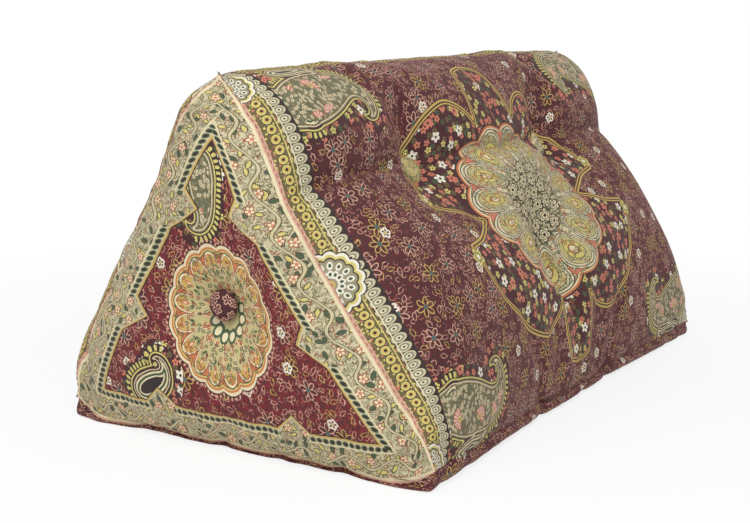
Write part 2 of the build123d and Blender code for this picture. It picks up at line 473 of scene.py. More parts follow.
RIM_START = math.radians(48)
RIM_RADIUS = 12 * MM
RIM_FADE = 60 * MM
RIM_CORNER = 70 * MM
def roll_base_edges(points, cover):
    """Turns the base panel's edges down and under, so that its rim shows below the bottom seams."""
    mesh = cover.data
    places = mesh.uv_layers["cloth"].data
    ids = np.zeros((CELLS_ALONG + 1, CELLS_ACROSS + 1), dtype=int)
    for polygon in mesh.polygons:
        if polygon.material_index == 2:
            for loop in polygon.loop_indices:
                u, v = places[loop].uv
                column = round((u / length + 0.5) * CELLS_ALONG)
                row = round(v / (2 * half_width) * CELLS_ACROSS)
                ids[column, row] = mesh.loops[loop].vertex_index
    grid = points[ids]
    columns, rows = np.arange(CELLS_ALONG + 1), np.arange(CELLS_ACROSS + 1)
    from_end = np.minimum(columns, columns[::-1]) * length / CELLS_ALONG
    from_side = np.minimum(rows, rows[::-1]) * 2 * half_width / CELLS_ACROSS
    from_end, from_side = np.meshgrid(from_end, from_side, indexing="ij")
    new = grid.copy()
    half_along, half_across = CELLS_ALONG // 2, CELLS_ACROSS // 2
    end_seam = np.where(columns[:, None, None] < half_along, grid[:1], grid[-1:])
    side_seam = np.where(rows[None, :, None] < half_across, grid[:, :1], grid[:, -1:])
    edges = ((0, end_seam, from_end, from_side), (1, side_seam, from_side, from_end))
    for axis, seam, away, other in edges:
        outward = np.sign(seam[..., axis])
        calm = np.clip(other / RIM_CORNER, 0, 1)
        straight = np.maximum(away - (RIM_START + math.pi / 2) * RIM_RADIUS, 0)
        out = RIM_RADIUS * (np.cos(rim_turn(away)) - math.cos(RIM_START))
        target = seam[..., axis] + outward * (out * calm - straight)
        held = np.exp(-((straight / RIM_FADE) ** 2))
        new[..., axis] += (target - grid[..., axis]) * held
    rise = np.maximum(rim_height(from_end) * end_seam[..., 2], rim_height(from_side) * side_seam[..., 2])
    new[..., 2] = rise
    points = points.copy()
    points[ids[1:-1, 1:-1]] = new[1:-1, 1:-1]
    return points


def rim_turn(away):
    return np.maximum(RIM_START - away / RIM_RADIUS, -math.pi / 2)


def rim_height(away):
    """The share of the seam's height that the cloth still has."""
    return (1 + np.sin(rim_turn(away))) / (1 + math.sin(RIM_START))


CORNER_REACH = 34 * MM
CORNER_BLUNTING = 9 * MM
CORNER_INWARD_SHARE = 0.45


def blunt_corners(points):
    """Rounds the six sewn corners, where the stuffing can't reach."""
    for x in (-half_length, half_length):
        for y, z in (ridge_corner, front_corner, back_corner):
            corner = np.array((x, y, z))
            inward = np.array((0, *middle)) - corner
            inward[0] = -x * CORNER_INWARD_SHARE
            inward /= np.linalg.norm(inward)
            near = np.exp(-(np.linalg.norm(points - corner, axis=1) / CORNER_REACH) ** 2)
            points = points + near[:, None] * inward * CORNER_BLUNTING
    return points


END_SEAM_REACH = 48 * MM
END_SEAM_WIDTH = 70 * MM
END_SEAM_PULL = 20 * MM
END_SEAM_BACK = 0.35
END_SIDE_SHARE = 0.6
END_SIDE_LEAST = 5 * MM


def draw_in_end_seams(points):
    """Pulls the slanted end seams in, where the cover is stitched tight over the end panels."""
    points = points.copy()
    from_end = np.maximum(half_length - np.abs(points[:, 0]), 0)
    tight = np.exp(-((from_end / END_SEAM_REACH) ** 2))
    up = (points[:, 2] - base_drop) / seam_height
    front = np.where(points[:, 1] < 0, 1, END_SEAM_BACK)
    spread = END_SIDE_SHARE * half_width * np.clip(1 - up, 0, 1) + END_SIDE_LEAST
    side = np.clip(points[:, 1] / spread, -1, 1)
    inside = (half_width * (1 - up) - np.abs(points[:, 1])) * seam_height / slant
    near_seam = np.exp(-((np.maximum(inside, 0) / END_SEAM_WIDTH) ** 2))
    pull = END_SEAM_PULL * front * tight * near_seam * np.sin(math.pi * np.clip(up, 0, 1))
    points[:, 1] -= side * pull * seam_height / slant
    points[:, 2] -= np.abs(side) * pull * half_width / slant
    return points


# How the cushion has settled: its ridge is stretched and full, and its bottom is shorter and low
RIDGE_STRETCH = 19 * MM
RIDGE_SWELL = 9 * MM
BOTTOM_SHORTENING = 15 * MM
BOTTOM_SETTLING = 3 * MM
SETTLING_HEIGHT = 90 * MM
SWELL_START = 0.45
SWELL_POWER = 1.5


def settle(points):
    """The swollen form as it stands on the floor after some use."""
    points = draw_in_end_seams(blunt_corners(points))
    height = (points[:, 2] - base_drop) / seam_height
    stretch = -BOTTOM_SHORTENING + (RIDGE_STRETCH + BOTTOM_SHORTENING) * np.clip(height, 0, 1)
    points = points.copy()
    points[:, 0] *= 1 + stretch / half_length
    points[:, 2] += RIDGE_SWELL * np.clip((height - SWELL_START) / (1 - SWELL_START), 0, 1) ** SWELL_POWER
    low = np.clip(1 - points[:, 2] / SETTLING_HEIGHT, 0, 1)
    points[:, 2] = np.maximum(points[:, 2] - BOTTOM_SETTLING * low ** 2, 0)
    return points


# The brocade's drawing. Places on a long panel are in mm: along the ridge from the middle, and
# down from the ridge. The drawing mirrors about the panel's middle, so a quarter of it is drawn.
PANEL_MIDDLE = 216

# The star round the medallion, as a quarter of its outline from the middle of the ridge side
STAR_QUARTER = (
    (0, 42), (-26, 50), (-37, 76), (-44, 108), (-60, 92), (-88, 83), (-122, 91),
    (-150, 108), (-180, 134), (-196, 166), (-200, 192), (-166, 198), (-124, 216),
)

# Leaves of a corner: where the round end is, its heading in degrees, length, half width, how far
# the tip curls in degrees, and which side of the leaf carries the comb
CORNER_LEAVES = (
    (-352, 70, -13, 176, 27, 235, -1),
    (-349, 36, 62, 78, 13, -190, 1),
    (-322, 20, -2, 92, 12, 200, -1),
)
END_LEAVES = (
    (8, 264, -96, 84, 15, 170, -1),
    (104, 36, 150, 78, 15, -290, -1),
)
STAR_STEPS = 12
LEAF_STEPS = 90
CURL_START = 0.42
NO_LEAF = 99.0


def smooth_through(stops, steps=STAR_STEPS):
    """A smooth line through a few stops."""
    stops = np.array(stops, dtype=float)
    padded = np.concatenate([[2 * stops[0] - stops[1]], stops, [2 * stops[-1] - stops[-2]]])
    share = np.linspace(0, 1, steps, endpoint=False)[:, None]
    line = []
    for a, b, c, d in zip(padded, padded[1:], padded[2:], padded[3:]):
        line.append(
            0.5 * (2 * b + (c - a) * share + (2 * a - 5 * b + 4 * c - d) * share ** 2
                   + (3 * b - a - 3 * c + d) * share ** 3)
        )
    return np.concatenate(line + [stops[-1:]])


def leaf_outline(x, y, heading, size, half_width, curl, comb_side):
    """A curled teardrop leaf: its spine bends towards the tip. Returns the closed outline."""
    share = np.linspace(0, 1, LEAF_STEPS)
    bend = np.clip((share - CURL_START) / (1 - CURL_START), 0, 1) ** 2.2
    angle = np.radians(heading + curl * bend)
    step = size / (LEAF_STEPS - 1)
    spine_x = x + np.concatenate([[0], np.cumsum(np.cos(angle[:-1]) * step)])
    spine_y = y + np.concatenate([[0], np.cumsum(np.sin(angle[:-1]) * step)])
    width = share ** 0.5 * (1 - share) ** 1.15
    width = half_width * width / width.max()
    left = np.stack([spine_x - np.sin(angle) * width, spine_y + np.cos(angle) * width], axis=1)
    right = np.stack([spine_x + np.sin(angle) * width, spine_y - np.cos(angle) * width], axis=1)
    return np.concatenate([left, right[-2:0:-1]])


def distance_to_line(points, line, closed):
    """Signed distance to a line, negative inside a closed one, and the place along the line."""
    if closed:
        line = np.concatenate([line, line[:1]])
    start, run = line[:-1], np.diff(line, axis=0)
    size = np.maximum((run ** 2).sum(axis=1), 1e-9)
    far = np.concatenate([[0], np.cumsum(np.sqrt(size))])
    best = np.full(len(points), 1e9)
    place = np.zeros(len(points))
    inside = np.zeros(len(points), dtype=bool)
    for k in range(len(start)):
        offset = points - start[k]
        share = np.clip((offset @ run[k]) / size[k], 0, 1)
        away = np.hypot(*(offset - share[:, None] * run[k]).T)
        nearer = away < best
        best[nearer] = away[nearer]
        place[nearer] = (far[k] + share * math.sqrt(size[k]))[nearer]
        if closed and run[k][1]:
            crosses = (start[k][1] > points[:, 1]) != (start[k][1] + run[k][1] > points[:, 1])
            inside ^= crosses & (offset[:, 0] < offset[:, 1] * run[k][0] / run[k][1])
    if closed:
        best = np.where(inside, -best, best)
    return best, place


def draw_leaves(points, leaves):
    """The nearest leaf at each point: distance, place along its edge, side with the comb, kind."""
    found = [np.full(len(points), NO_LEAF)] + [np.zeros(len(points)) for _ in range(3)]
    for kind, leaf in enumerate(leaves):
        outline = leaf_outline(*leaf)
        near = (np.abs(points - outline.mean(axis=0)) < leaf[3]).all(axis=1)
        away, place = distance_to_line(points[near], outline, True)
        half = np.hypot(*np.diff(np.concatenate([outline, outline[:1]]), axis=0).T).sum() / 2
        on_comb_side = (place < half) == (leaf[6] > 0)
        spot = np.nonzero(near)[0]
        nearer = away < found[0][spot]
        spot = spot[nearer]
        found[0][spot] = away[nearer]
        found[1][spot] = place[nearer]
        found[2][spot] = on_comb_side[nearer]
        found[3][spot] = kind
    return found


def put_attribute(mesh, name, values):
    layer = mesh.attributes.new(name, "FLOAT", "POINT")
    layer.data.foreach_set("value", np.asarray(values, dtype=np.float32))


def draw_long_panel(mesh, cloth):
    """Stores the star and the corner leaves on a long panel's mesh."""
    drop = cloth[:, 1]
    upper = np.where(drop < PANEL_MIDDLE, drop, 2 * PANEL_MIDDLE - drop)
    folded = np.stack([-np.abs(cloth[:, 0]), upper], axis=1)
    quarter = smooth_through(STAR_QUARTER[:4])
    quarter = np.concatenate([quarter[:-1], smooth_through(STAR_QUARTER[3:9])[:-1]])
    quarter = np.concatenate([quarter[:-1], smooth_through(STAR_QUARTER[8:11])])
    quarter = np.concatenate([quarter[:-1], smooth_through(STAR_QUARTER[10:])])
    away = distance_to_line(folded, quarter, False)[0]
    ring = np.concatenate([quarter, [(0, PANEL_MIDDLE)]])
    inside = distance_to_line(folded, ring, True)[0] < 0
    put_attribute(mesh, "star_distance", np.where(inside, -away, away))
    put_leaves(mesh, draw_leaves(folded, CORNER_LEAVES))


def put_leaves(mesh, leaves):
    for name, values in zip(("leaf_distance", "leaf_place", "leaf_comb", "leaf_kind"), leaves):
        put_attribute(mesh, name, values)


def draw_end_panel(mesh, cloth):
    put_leaves(mesh, draw_leaves(cloth, END_LEAVES))


def dye(red, green, blue):
    """A colour as it looks on a screen, 0 to 255, turned into the shader's own scale."""
    shares = [c / 255 for c in (red, green, blue)]
    return tuple(((c + 0.055) / 1.055) ** 2.4 if c > 10 / 255 else c / 12.92 for c in shares)


class Thread:
    """A number that varies over the cloth. Arithmetic on it makes Math nodes."""

    def __init__(self, sheet, socket):
        self.sheet = sheet
        self.socket = socket

    def __add__(self, other):
        return self.sheet.maths("ADD", self, other)

    def __radd__(self, other):
        return self.sheet.maths("ADD", other, self)

    def __sub__(self, other):
        return self.sheet.maths("SUBTRACT", self, other)

    def __rsub__(self, other):
        return self.sheet.maths("SUBTRACT", other, self)

    def __mul__(self, other):
        return self.sheet.maths("MULTIPLY", self, other)

    def __rmul__(self, other):
        return self.sheet.maths("MULTIPLY", other, self)

    def __truediv__(self, other):
        return self.sheet.maths("DIVIDE", self, other)

    def __mod__(self, other):
        return self.sheet.maths("FLOORED_MODULO", self, other)

    def __lt__(self, other):
        return self.sheet.maths("LESS_THAN", self, other)

    def __gt__(self, other):
        return self.sheet.maths("GREATER_THAN", self, other)

    def __abs__(self):
        return self.sheet.maths("ABSOLUTE", self)


TURN = 2 * math.pi
SCATTER_RANDOMNESS = 0.8


class Sheet:
    """One material, or the world, and the nodes that draw on it."""

    def __init__(self, name=None, world=None):
        self.material = world or bpy.data.materials.new(name)
        self.material.use_nodes = True
        self.tree = self.material.node_tree
        self.shader = self.tree.nodes.get("Principled BSDF")

    def node(self, kind, settings=None, inputs=None):
        node = self.tree.nodes.new("ShaderNode" + kind)
        for name, value in (settings or {}).items():
            setattr(node, name, value)
        for key, value in (inputs or {}).items():
            self.feed(node.inputs[key], value)
        return node

    def feed(self, socket, value):
        if isinstance(value, Thread):
            self.tree.links.new(value.socket, socket)
        elif isinstance(value, bpy.types.NodeSocket):
            self.tree.links.new(value, socket)
        elif isinstance(value, tuple) and len(value) == 3 and socket.type == "RGBA":
            socket.default_value = (*value, 1)
        else:
            socket.default_value = value

    def maths(self, operation, *values):
        node = self.node("Math", {"operation": operation}, dict(enumerate(values)))
        return Thread(self, node.outputs[0])

    def attribute(self, name):
        node = self.node("Attribute", {"attribute_name": name})
        return Thread(self, node.outputs["Fac"])

    def cloth_place(self):
        """The place on the flat cloth, in mm."""
        self.flat = self.node("UVMap", {"uv_map": "cloth"}).outputs[0]
        parts = self.node("SeparateXYZ", inputs={0: self.flat})
        return [Thread(self, parts.outputs[k]) * MM_IN_METRE for k in (0, 1)]

    def dress(self, colour, roughness, bump=None):
        """Feeds the colour, the roughness and the relief to the shader."""
        self.feed(self.shader.inputs["Base Color"], colour)
        self.feed(self.shader.inputs["Roughness"], roughness)
        if bump:
            self.feed(self.shader.inputs["Normal"], bump.outputs[0])
        return self.material

    def mix(self, under, over, mask):
        node = self.node("Mix", {"data_type": "RGBA"}, {0: mask, 6: under, 7: over})
        return node.outputs[2]

    def least(self, a, b):
        return self.maths("MINIMUM", a, b)

    def most(self, a, b):
        return self.maths("MAXIMUM", a, b)

    def root(self, a):
        return self.maths("SQRT", a)

    def cosine(self, a):
        return self.maths("COSINE", a)

    def sine(self, a):
        return self.maths("SINE", a)

    def turn(self, x, y):
        return self.maths("ARCTAN2", y, x)

    def away(self, x, y):
        return self.root(x * x + y * y)

    def noise(self, x, y, size, detail=2):
        vector = self.node("CombineXYZ", inputs={0: x / size, 1: y / size})
        node = self.node("TexNoise", {"noise_dimensions": "2D"},
                         {"Vector": vector.outputs[0], "Scale": 1.0, "Detail": float(detail)})
        return Thread(self, node.outputs["Fac"])

    def scatter(self, x, y, spacing, shift):
        """Spots strewn over the cloth: place in each one, turned at random, and two chances."""
        scale = 1 / (spacing * MM)
        moved = {"Location": (shift, -shift, 0), "Scale": (scale, scale, 1)}
        place = self.node("Mapping", inputs={0: self.flat, **moved})
        cells = self.node("TexVoronoi", {"voronoi_dimensions": "2D", "feature": "F1"},
                          {"Vector": place.outputs[0], "Scale": 1.0, "Randomness": SCATTER_RANDOMNESS})
        chances = self.node("SeparateColor", inputs={0: cells.outputs["Color"]})
        chance, turn, other = [Thread(self, s) for s in chances.outputs]
        middle_of = self.node("SeparateXYZ", inputs={0: cells.outputs["Position"]})
        a = x - (Thread(self, middle_of.outputs[0]) - shift) * spacing
        b = y - (Thread(self, middle_of.outputs[1]) + shift) * spacing
        cosine = self.cosine(turn * TURN)
        sine = self.sine(turn * TURN)
        return a * cosine + b * sine, b * cosine - a * sine, chance, other


# Dyes of the brocade, with one lighter copy of the maroon for the end panels' ground, which is painted light
maroon = dye(86, 11, 21)
deep_maroon = dye(62, 9, 18)
# The maroon made lighter for the end panels' ground: painted light
painted_lit_maroon = dye(122, 20, 30)
rose = dye(156, 78, 76)
pale_rose = dye(214, 166, 142)
cream = dye(232, 218, 178)
white = dye(238, 232, 214)
gold = dye(204, 170, 92)
straw = dye(214, 200, 116)
orange = dye(206, 122, 74)
salmon = dye(208, 124, 100)
sage = dye(150, 144, 114)
mint = dye(204, 194, 156)
pale_green = dye(196, 184, 130)
leaf_green = dye(66, 86, 56)
teal = dye(66, 104, 98)
olive = dye(106, 92, 56)
grey_blue = dye(132, 136, 122)
rust = dye(150, 76, 44)
ink = dye(38, 24, 22)

LINE = 0.5

# Sizes of the drawing, in mm
MEDALLION_HALF_LENGTH = 126
MEDALLION_HALF_HEIGHT = 102
END_ROSETTE = (-4, 120)
ROSETTE_HALF_WIDTH = 55
ROSETTE_HALF_HEIGHT = 65
LEAF_HALO = 13
END_BORDER = 40
END_BEADS = (31, 38)
END_BEAD_MIDDLE = 34.4
PAST_SEAM = -99
COMB_PITCH = 4.4
BEAD_PITCH = 9
END_BEAD_PITCH = 6.5
SLANT_DIAMOND_MIDDLE = 164
SLANT_DIAMOND_SPREAD = 50
BOTTOM_DIAMOND_SPREAD = 75
DIAMOND_HEIGHT = 17
FIELD_SHAKE = 2.6
VINE_SHAKE = 2.4
VINE_PITCH = 46
VINE_SWING = 6
VINE_MIDDLE = 16
CHAIN_RINGS = ((4.6, ink), (4.0, straw), (2.6, gold), (1.4, ink))
SCALLOP_RINGS = ((4.3, mint), (3.0, grey_blue), (1.9, cream), (0.8, ink))

# What the end border's width is divided by at the bottom, on the left slant and on the right slant
BORDER_LOW = 1.2
BORDER_LEFT = 1.1
BORDER_RIGHT = 0.87

# Palmettes: place along the ridge, place down, size, and how many lobes
SIDE_PALMETTE = (371, 219, 27, 14)
CORNER_PALMETTE = (368, 20, 22, 12)

# Flowers of the close ground: spacing, size, shift of the scatter, and two dyes
GROUND_FLOWERS = (
    (8.5, 3.2, 2.3, olive, leaf_green),
    (10.5, 3.6, 6.1, salmon, straw),
    (19.0, 5.6, 9.4, salmon, white),
)

# Shares of a figure's size, outside first. MEDALLION_EDGE says how far inside the scalloped edge each
# dye stops, and the others how far each dye reaches.
MEDALLION_EDGE = ((-0.015, ink), (0.002, orange), (0.024, cream), (0.04, olive), (0.05, sage))
MEDALLION_PETAL = (
    (1.06, ink), (1.02, cream), (0.95, grey_blue), (0.87, cream), (0.80, olive),
    (0.765, pale_green), (0.52, ink), (0.49, straw), (0.27, rust), (0.2, cream),
)
ROSETTE_EDGE = (
    (1.05, deep_maroon), (1.03, cream), (0.985, orange), (0.955, straw), (0.93, olive), (0.915, orange),
)
ROSETTE_PETAL = ((1.0, ink), (0.95, cream), (0.84, orange), (0.80, pale_green))
PALMETTE_EDGE = ((1.12, ink), (1.07, white), (0.97, straw), (0.88, ink), (0.83, sage))
PALMETTE_DROPS = (0.62, 0.34)

# How many of each stand in a ring, and the medallion's rings of blossoms: count, place, size, turn
MEDALLION_PETALS = 16
ROSETTE_PETALS = 16
ROSETTE_TICKS = 84
ROSETTE_LEAVES = 11
MEDALLION_BLOSSOMS = ((13, 0.36, 0.062, 0.0), (9, 0.235, 0.066, 0.4), (5, 0.11, 0.064, 0.2))


def flower_line(sheet, x, y, petals, size, depth, line=LINE):
    """The outline of a flower, about as wide along its petals as across their tips."""
    far = sheet.away(x, y)
    turn = sheet.turn(x, y) * (petals / 2)
    edge = (abs(sheet.cosine(turn)) * depth + (1 - depth)) * size
    slope = abs(sheet.sine(turn)) * (size * depth * petals / 2) / sheet.most(far, 1.0)
    even = abs(far - edge) / sheet.root(slope * slope + 1)
    return even < line, far


def leaf_line(sheet, x, y, size, fat, line=LINE):
    share = x / size
    bow = (1 - share * share) * fat
    return (abs(abs(y) - bow) < line) * (abs(x) < size)


def curl_line(sheet, x, y, size, line=LINE):
    far = sheet.away(x, y)
    return (abs(far - size) < line) * (y > size * -0.45)


def ring_chain(sheet, colour, across, along, middle, pitch, radius, ring_dye, dot_dye):
    """A row of rings with a dot in each, along a border."""
    step = along % pitch - pitch / 2
    far = sheet.away(step, across - middle)
    colour = sheet.mix(colour, ring_dye, abs(far - radius) < radius * 0.24)
    return sheet.mix(colour, dot_dye, far < radius * 0.34)


def rings(sheet, colour, away, table):
    """Discs laid over each other, each as far as its reach, so that rings of them show."""
    for reach, ring_dye in table:
        colour = sheet.mix(colour, ring_dye, away < reach)
    return colour


def stripe(sheet, colour, across, low, high, stripe_dye):
    return sheet.mix(colour, stripe_dye, (across > low) * (across < high))


def shaky_hand(sheet, x, y, reach):
    """How far a fine line strays from its place, along and across."""
    return [(sheet.noise(a, b, size) - 0.5) * reach for a, b, size in ((x, y, 3.4), (y, x, 3.1))]


def strewn_field(sheet, colour, x, y, shift=0.0):
    """The all-over drawing: fine outlined flowers, leaves and curls, in a shaky hand."""
    sway, lean = shaky_hand(sheet, x, y, FIELD_SHAKE)
    a, b, chance, other = sheet.scatter(x, y, 5.2, shift + 3.1)
    colour = sheet.mix(colour, ink, leaf_line(sheet, a + sway, b + lean, 2.6, 0.9, 0.5) * 0.75)
    a, b, chance, other = sheet.scatter(x, y, 6.4, shift + 7.7)
    tint = sheet.mix(rose, pale_rose, other)
    colour = sheet.mix(colour, tint, curl_line(sheet, a + sway, b + lean, 2.1, 0.3) * (chance > 0.3))
    a, b, chance, other = sheet.scatter(x, y, 8.8, shift + 11.3)
    tint = sheet.mix(pale_rose, gold, other > 0.7)
    colour = sheet.mix(colour, tint, leaf_line(sheet, a + sway, b + lean, 4.0, 1.9, 0.3) * (chance > 0.3))
    a, b, chance, other = sheet.scatter(x, y, 30, shift + 1.9)
    shown = chance > 0.15
    clear = sheet.away(a, b)
    colour = sheet.mix(colour, deep_maroon, (clear < 8.8) * shown * 0.75)
    line, far = flower_line(sheet, a + sway * 0.5, b + lean * 0.5, 6, 9.2, 0.66, 0.44)
    tint = sheet.mix(pale_rose, gold, other > 0.6)
    colour = sheet.mix(colour, tint, line * shown)
    colour = sheet.mix(colour, teal, (far < 1.9) * shown)
    a, b, chance, other = sheet.scatter(x, y, 45, shift + 5.3)
    line, far = flower_line(sheet, a, b, 5, 4.8, 0.4, 0.8)
    colour = sheet.mix(colour, white, line * (chance > 0.5))
    return sheet.mix(colour, straw, (far < 1.2) * (chance > 0.5))


def rich_ground(sheet, colour, x, y, mask, shift):
    """Close flowers in bright dyes on a dark ground, inside a mask."""
    colour = sheet.mix(colour, deep_maroon, mask)
    for spacing, size, offset, first, second in GROUND_FLOWERS:
        a, b, chance, other = sheet.scatter(x, y, spacing, shift + offset)
        far = sheet.away(a, b)
        turn = sheet.turn(a, b) * 2.5
        edge = (abs(sheet.cosine(turn)) * 0.5 + 0.5) * size
        shown = (far < edge) * (chance > 0.3) * mask
        tint = sheet.mix(first, second, other > 0.5)
        colour = sheet.mix(colour, tint, shown)
        colour = sheet.mix(colour, ink, (far < size * 0.24) * shown)
    return colour


def star_and_medallion(sheet, colour, x, y):
    star = sheet.attribute("star_distance")
    colour = sheet.mix(colour, ink, abs(star + 1.6) < 3.6)
    colour = sheet.mix(colour, gold, abs(star) < 1.1)
    colour = sheet.mix(colour, gold, abs(star + 3.4) < 0.8)
    # blossoms that sit on the star's sides
    side = abs(x) - 200
    rise = abs(y - PANEL_MIDDLE) - 36
    far = sheet.away(side, rise)
    turn = sheet.turn(side, rise)
    petal = (abs(sheet.cosine(turn * 2.5)) * 0.4 + 0.6) * 9
    colour = sheet.mix(colour, straw, far < petal)
    colour = sheet.mix(colour, leaf_green, abs(far - petal * 0.55) < 0.7)
    colour = sheet.mix(colour, white, far < 2.4)
    return medallion(sheet, colour, x, y)


def medallion(sheet, colour, x, y):
    a = x / MEDALLION_HALF_LENGTH
    b = (y - PANEL_MIDDLE) / MEDALLION_HALF_HEIGHT
    far = sheet.away(a, b)
    turn = sheet.turn(a, b) / TURN * MEDALLION_PETALS
    across = abs(turn % 1 - 0.5) * 2
    scallop = 1 - 0.07 * across * across
    for step_in, dye_of in MEDALLION_EDGE:
        colour = sheet.mix(colour, dye_of, far < scallop - step_in)
    # each petal is a drop that points to the middle
    along = (far - 0.69) / 0.26
    widening = across * (far + 0.05) / (0.70 + 0.30 * along)
    drop = sheet.away(along, widening)
    colour = sheet.mix(colour, salmon, (across > 0.66) * (far > 0.78) * (far < 0.90))
    colour = sheet.mix(colour, cream, (across > 0.8) * (far > 0.44) * (far < 0.74))
    colour = rings(sheet, colour, drop, MEDALLION_PETAL)
    p, q, chance, other = sheet.scatter(x, y, 4.6, 4.4)
    line = leaf_line(sheet, p, q, 2.3, 1.0, 0.42)
    tint = sheet.mix(leaf_green, rust, other > 0.6)
    colour = sheet.mix(colour, tint, line * (far < 0.93) * (far > 0.4) * (chance > 0.25))
    tint = sheet.mix(cream, gold, other > 0.5)
    colour = sheet.mix(colour, tint, (sheet.away(p, q) < 0.8) * (far < 0.93) * (chance > 0.35))
    # the close middle
    core = far < 0.42
    colour = sheet.mix(colour, sheet.mix(olive, leaf_green, chance), core)
    colour = sheet.mix(colour, cream, core * line)
    for count, ring_at, size, shift in MEDALLION_BLOSSOMS:
        step = (sheet.turn(a, b) / TURN * count + shift) % 1 - 0.5
        wide = step * far * (TURN / count)
        deep = far - ring_at
        local = sheet.away(wide, deep)
        petal = (abs(sheet.cosine(sheet.turn(wide, deep) * 2.5)) * 0.45 + 0.55) * size
        colour = sheet.mix(colour, ink, local < petal * 1.25)
        colour = sheet.mix(colour, cream, local < petal)
        colour = sheet.mix(colour, leaf_green, abs(local - petal * 0.66) < 0.0045)
        colour = sheet.mix(colour, deep_maroon, local < size * 0.26)
    return colour


def comb_leaves(sheet, colour, x, y):
    """The curled leaves: body, outlines, a comb of ticks along one side, a fan and a seed."""
    away = sheet.attribute("leaf_distance")
    place = sheet.attribute("leaf_place")
    comb = sheet.attribute("leaf_comb") > 0.5
    large = sheet.attribute("leaf_kind") < 0.5
    colour = sheet.mix(colour, ink, (away < 9.2) * comb)
    beside = abs(place % COMB_PITCH - COMB_PITCH / 2)
    tick = (beside < 1.2) * (away > 2.6) * (away < 8.4 - beside * 1.2)
    colour = sheet.mix(colour, straw, tick * comb)
    colour = sheet.mix(colour, ink, away < 2.8)
    colour = sheet.mix(colour, straw, (away < 1.8) * (away > 0.3))
    body = sheet.mix(deep_maroon, sheet.mix(olive, sage, sheet.noise(x, y, 14)), large)
    colour = sheet.mix(colour, body, away < -0.8)
    colour = sheet.mix(colour, cream, abs(away + 2.5) < 0.45)
    p, q, chance, other = sheet.scatter(x, y, 4.0, 3.9)
    inside = away < -3.4
    tint = sheet.mix(leaf_green, cream, other > 0.45)
    colour = sheet.mix(colour, tint, leaf_line(sheet, p, q, 2.2, 0.9, 0.42) * inside)
    colour = sheet.mix(colour, olive, abs(away + 4.4) < 0.5)
    middle = (away < -7) * large
    a, b, chance, other = sheet.scatter(x, y, 34, 0.7)
    far = sheet.away(a, b)
    fan = sheet.turn(a, b)
    colour = sheet.mix(colour, salmon, (far < 9.5) * (a > -1.5) * middle)
    ribs = (far < 8.8) * (a > 0) * (sheet.cosine(fan * 14) > 0.45) * (far > 3.6)
    colour = sheet.mix(colour, white, ribs * middle)
    colour = sheet.mix(colour, straw, (far < 3.0) * middle)
    colour = sheet.mix(colour, rust, (far < 1.2) * middle)
    small = 1 - large
    colour = sheet.mix(colour, cream, (away < -4.6) * small)
    colour = sheet.mix(colour, leaf_green, (away < -6.2) * small)
    colour = sheet.mix(colour, cream, (away < -8.2) * small)
    return sheet.mix(colour, ink, (away < -9.6) * small)


def palmette(sheet, colour, x, y, cx, cy, size, lobes):
    """A shell of lobes round a place on the border."""
    a = x - cx
    b = y - cy
    far = sheet.away(a, b) / size
    turn = sheet.turn(a, b) / TURN * lobes
    across = abs(turn % 1 - 0.5) * 2
    edge = 1 - 0.1 * across * across
    for reach, dye_of in PALMETTE_EDGE:
        colour = sheet.mix(colour, dye_of, far < edge * reach)
    for ring_at in PALMETTE_DROPS:
        drop = sheet.away((far - ring_at) / 0.13, across * far / 0.42)
        colour = sheet.mix(colour, white, drop < 1.0)
        colour = sheet.mix(colour, leaf_green, drop < 0.5)
    return sheet.mix(colour, gold, far < 0.14)


def field_start(sheet, x, y, dye_of, dark):
    """The ground of the cloth, a little uneven in its dye."""
    uneven = sheet.noise(x, y, 60)
    return sheet.mix(dye_of, dark, uneven * 0.5)


def long_border(sheet, colour, x, y):
    """What is woven along a long panel's four sides."""
    across = half_length / MM - abs(x)
    down = PANEL_MIDDLE - abs(y - PANEL_MIDDLE)
    p, q, chance, other = sheet.scatter(x, y, 3.6, 1.7)
    speck = sheet.away(p, q) < 1.0
    colour = stripe(sheet, colour, down, -9, 9.4, olive)
    colour = ring_chain(sheet, colour, down, x, 4.4, 8, 2.7, straw, ink)
    colour = stripe(sheet, colour, down, 9.4, 10.4, gold)
    # rows from the seam inwards: specks, a chain of rings, a dark line, and scalloped beads
    colour = stripe(sheet, colour, across, -20, 19, olive)
    tint = sheet.mix(straw, salmon, other > 0.7)
    colour = sheet.mix(colour, tint, speck * (across < 18) * (chance > 0.15))
    chain = sheet.away(y % BEAD_PITCH - BEAD_PITCH / 2, across - 9.6)
    colour = rings(sheet, colour, chain, CHAIN_RINGS)
    colour = stripe(sheet, colour, across, 15.2, 16.2, straw)
    colour = stripe(sheet, colour, across, -2, 1.8, pale_rose)
    colour = stripe(sheet, colour, across, 18.2, 33.4, ink)
    step = abs((y + BEAD_PITCH / 2) % BEAD_PITCH - BEAD_PITCH / 2)
    scallop = sheet.away(step, (across - 24.6) * 0.62)
    colour = rings(sheet, colour, scallop, SCALLOP_RINGS)
    colour = sheet.mix(colour, cream, abs(across - 19.8) < 0.6)
    near = abs(x)
    colour = palmette(sheet, colour, near, y, *SIDE_PALMETTE)
    return palmette(sheet, colour, near, down, *CORNER_PALMETTE)


def long_brocade(name):
    sheet = Sheet(name)
    x, y = sheet.cloth_place()
    colour = field_start(sheet, x, y, maroon, deep_maroon)
    colour = strewn_field(sheet, colour, x, y)
    close = sheet.most(sheet.attribute("star_distance") < 0, sheet.attribute("leaf_distance") < LEAF_HALO)
    colour = rich_ground(sheet, colour, x, y, close, 2.2)
    colour = comb_leaves(sheet, colour, x, y)
    colour = star_and_medallion(sheet, colour, x, y)
    colour = long_border(sheet, colour, x, y)
    return finish_cloth(sheet, colour, x, y)


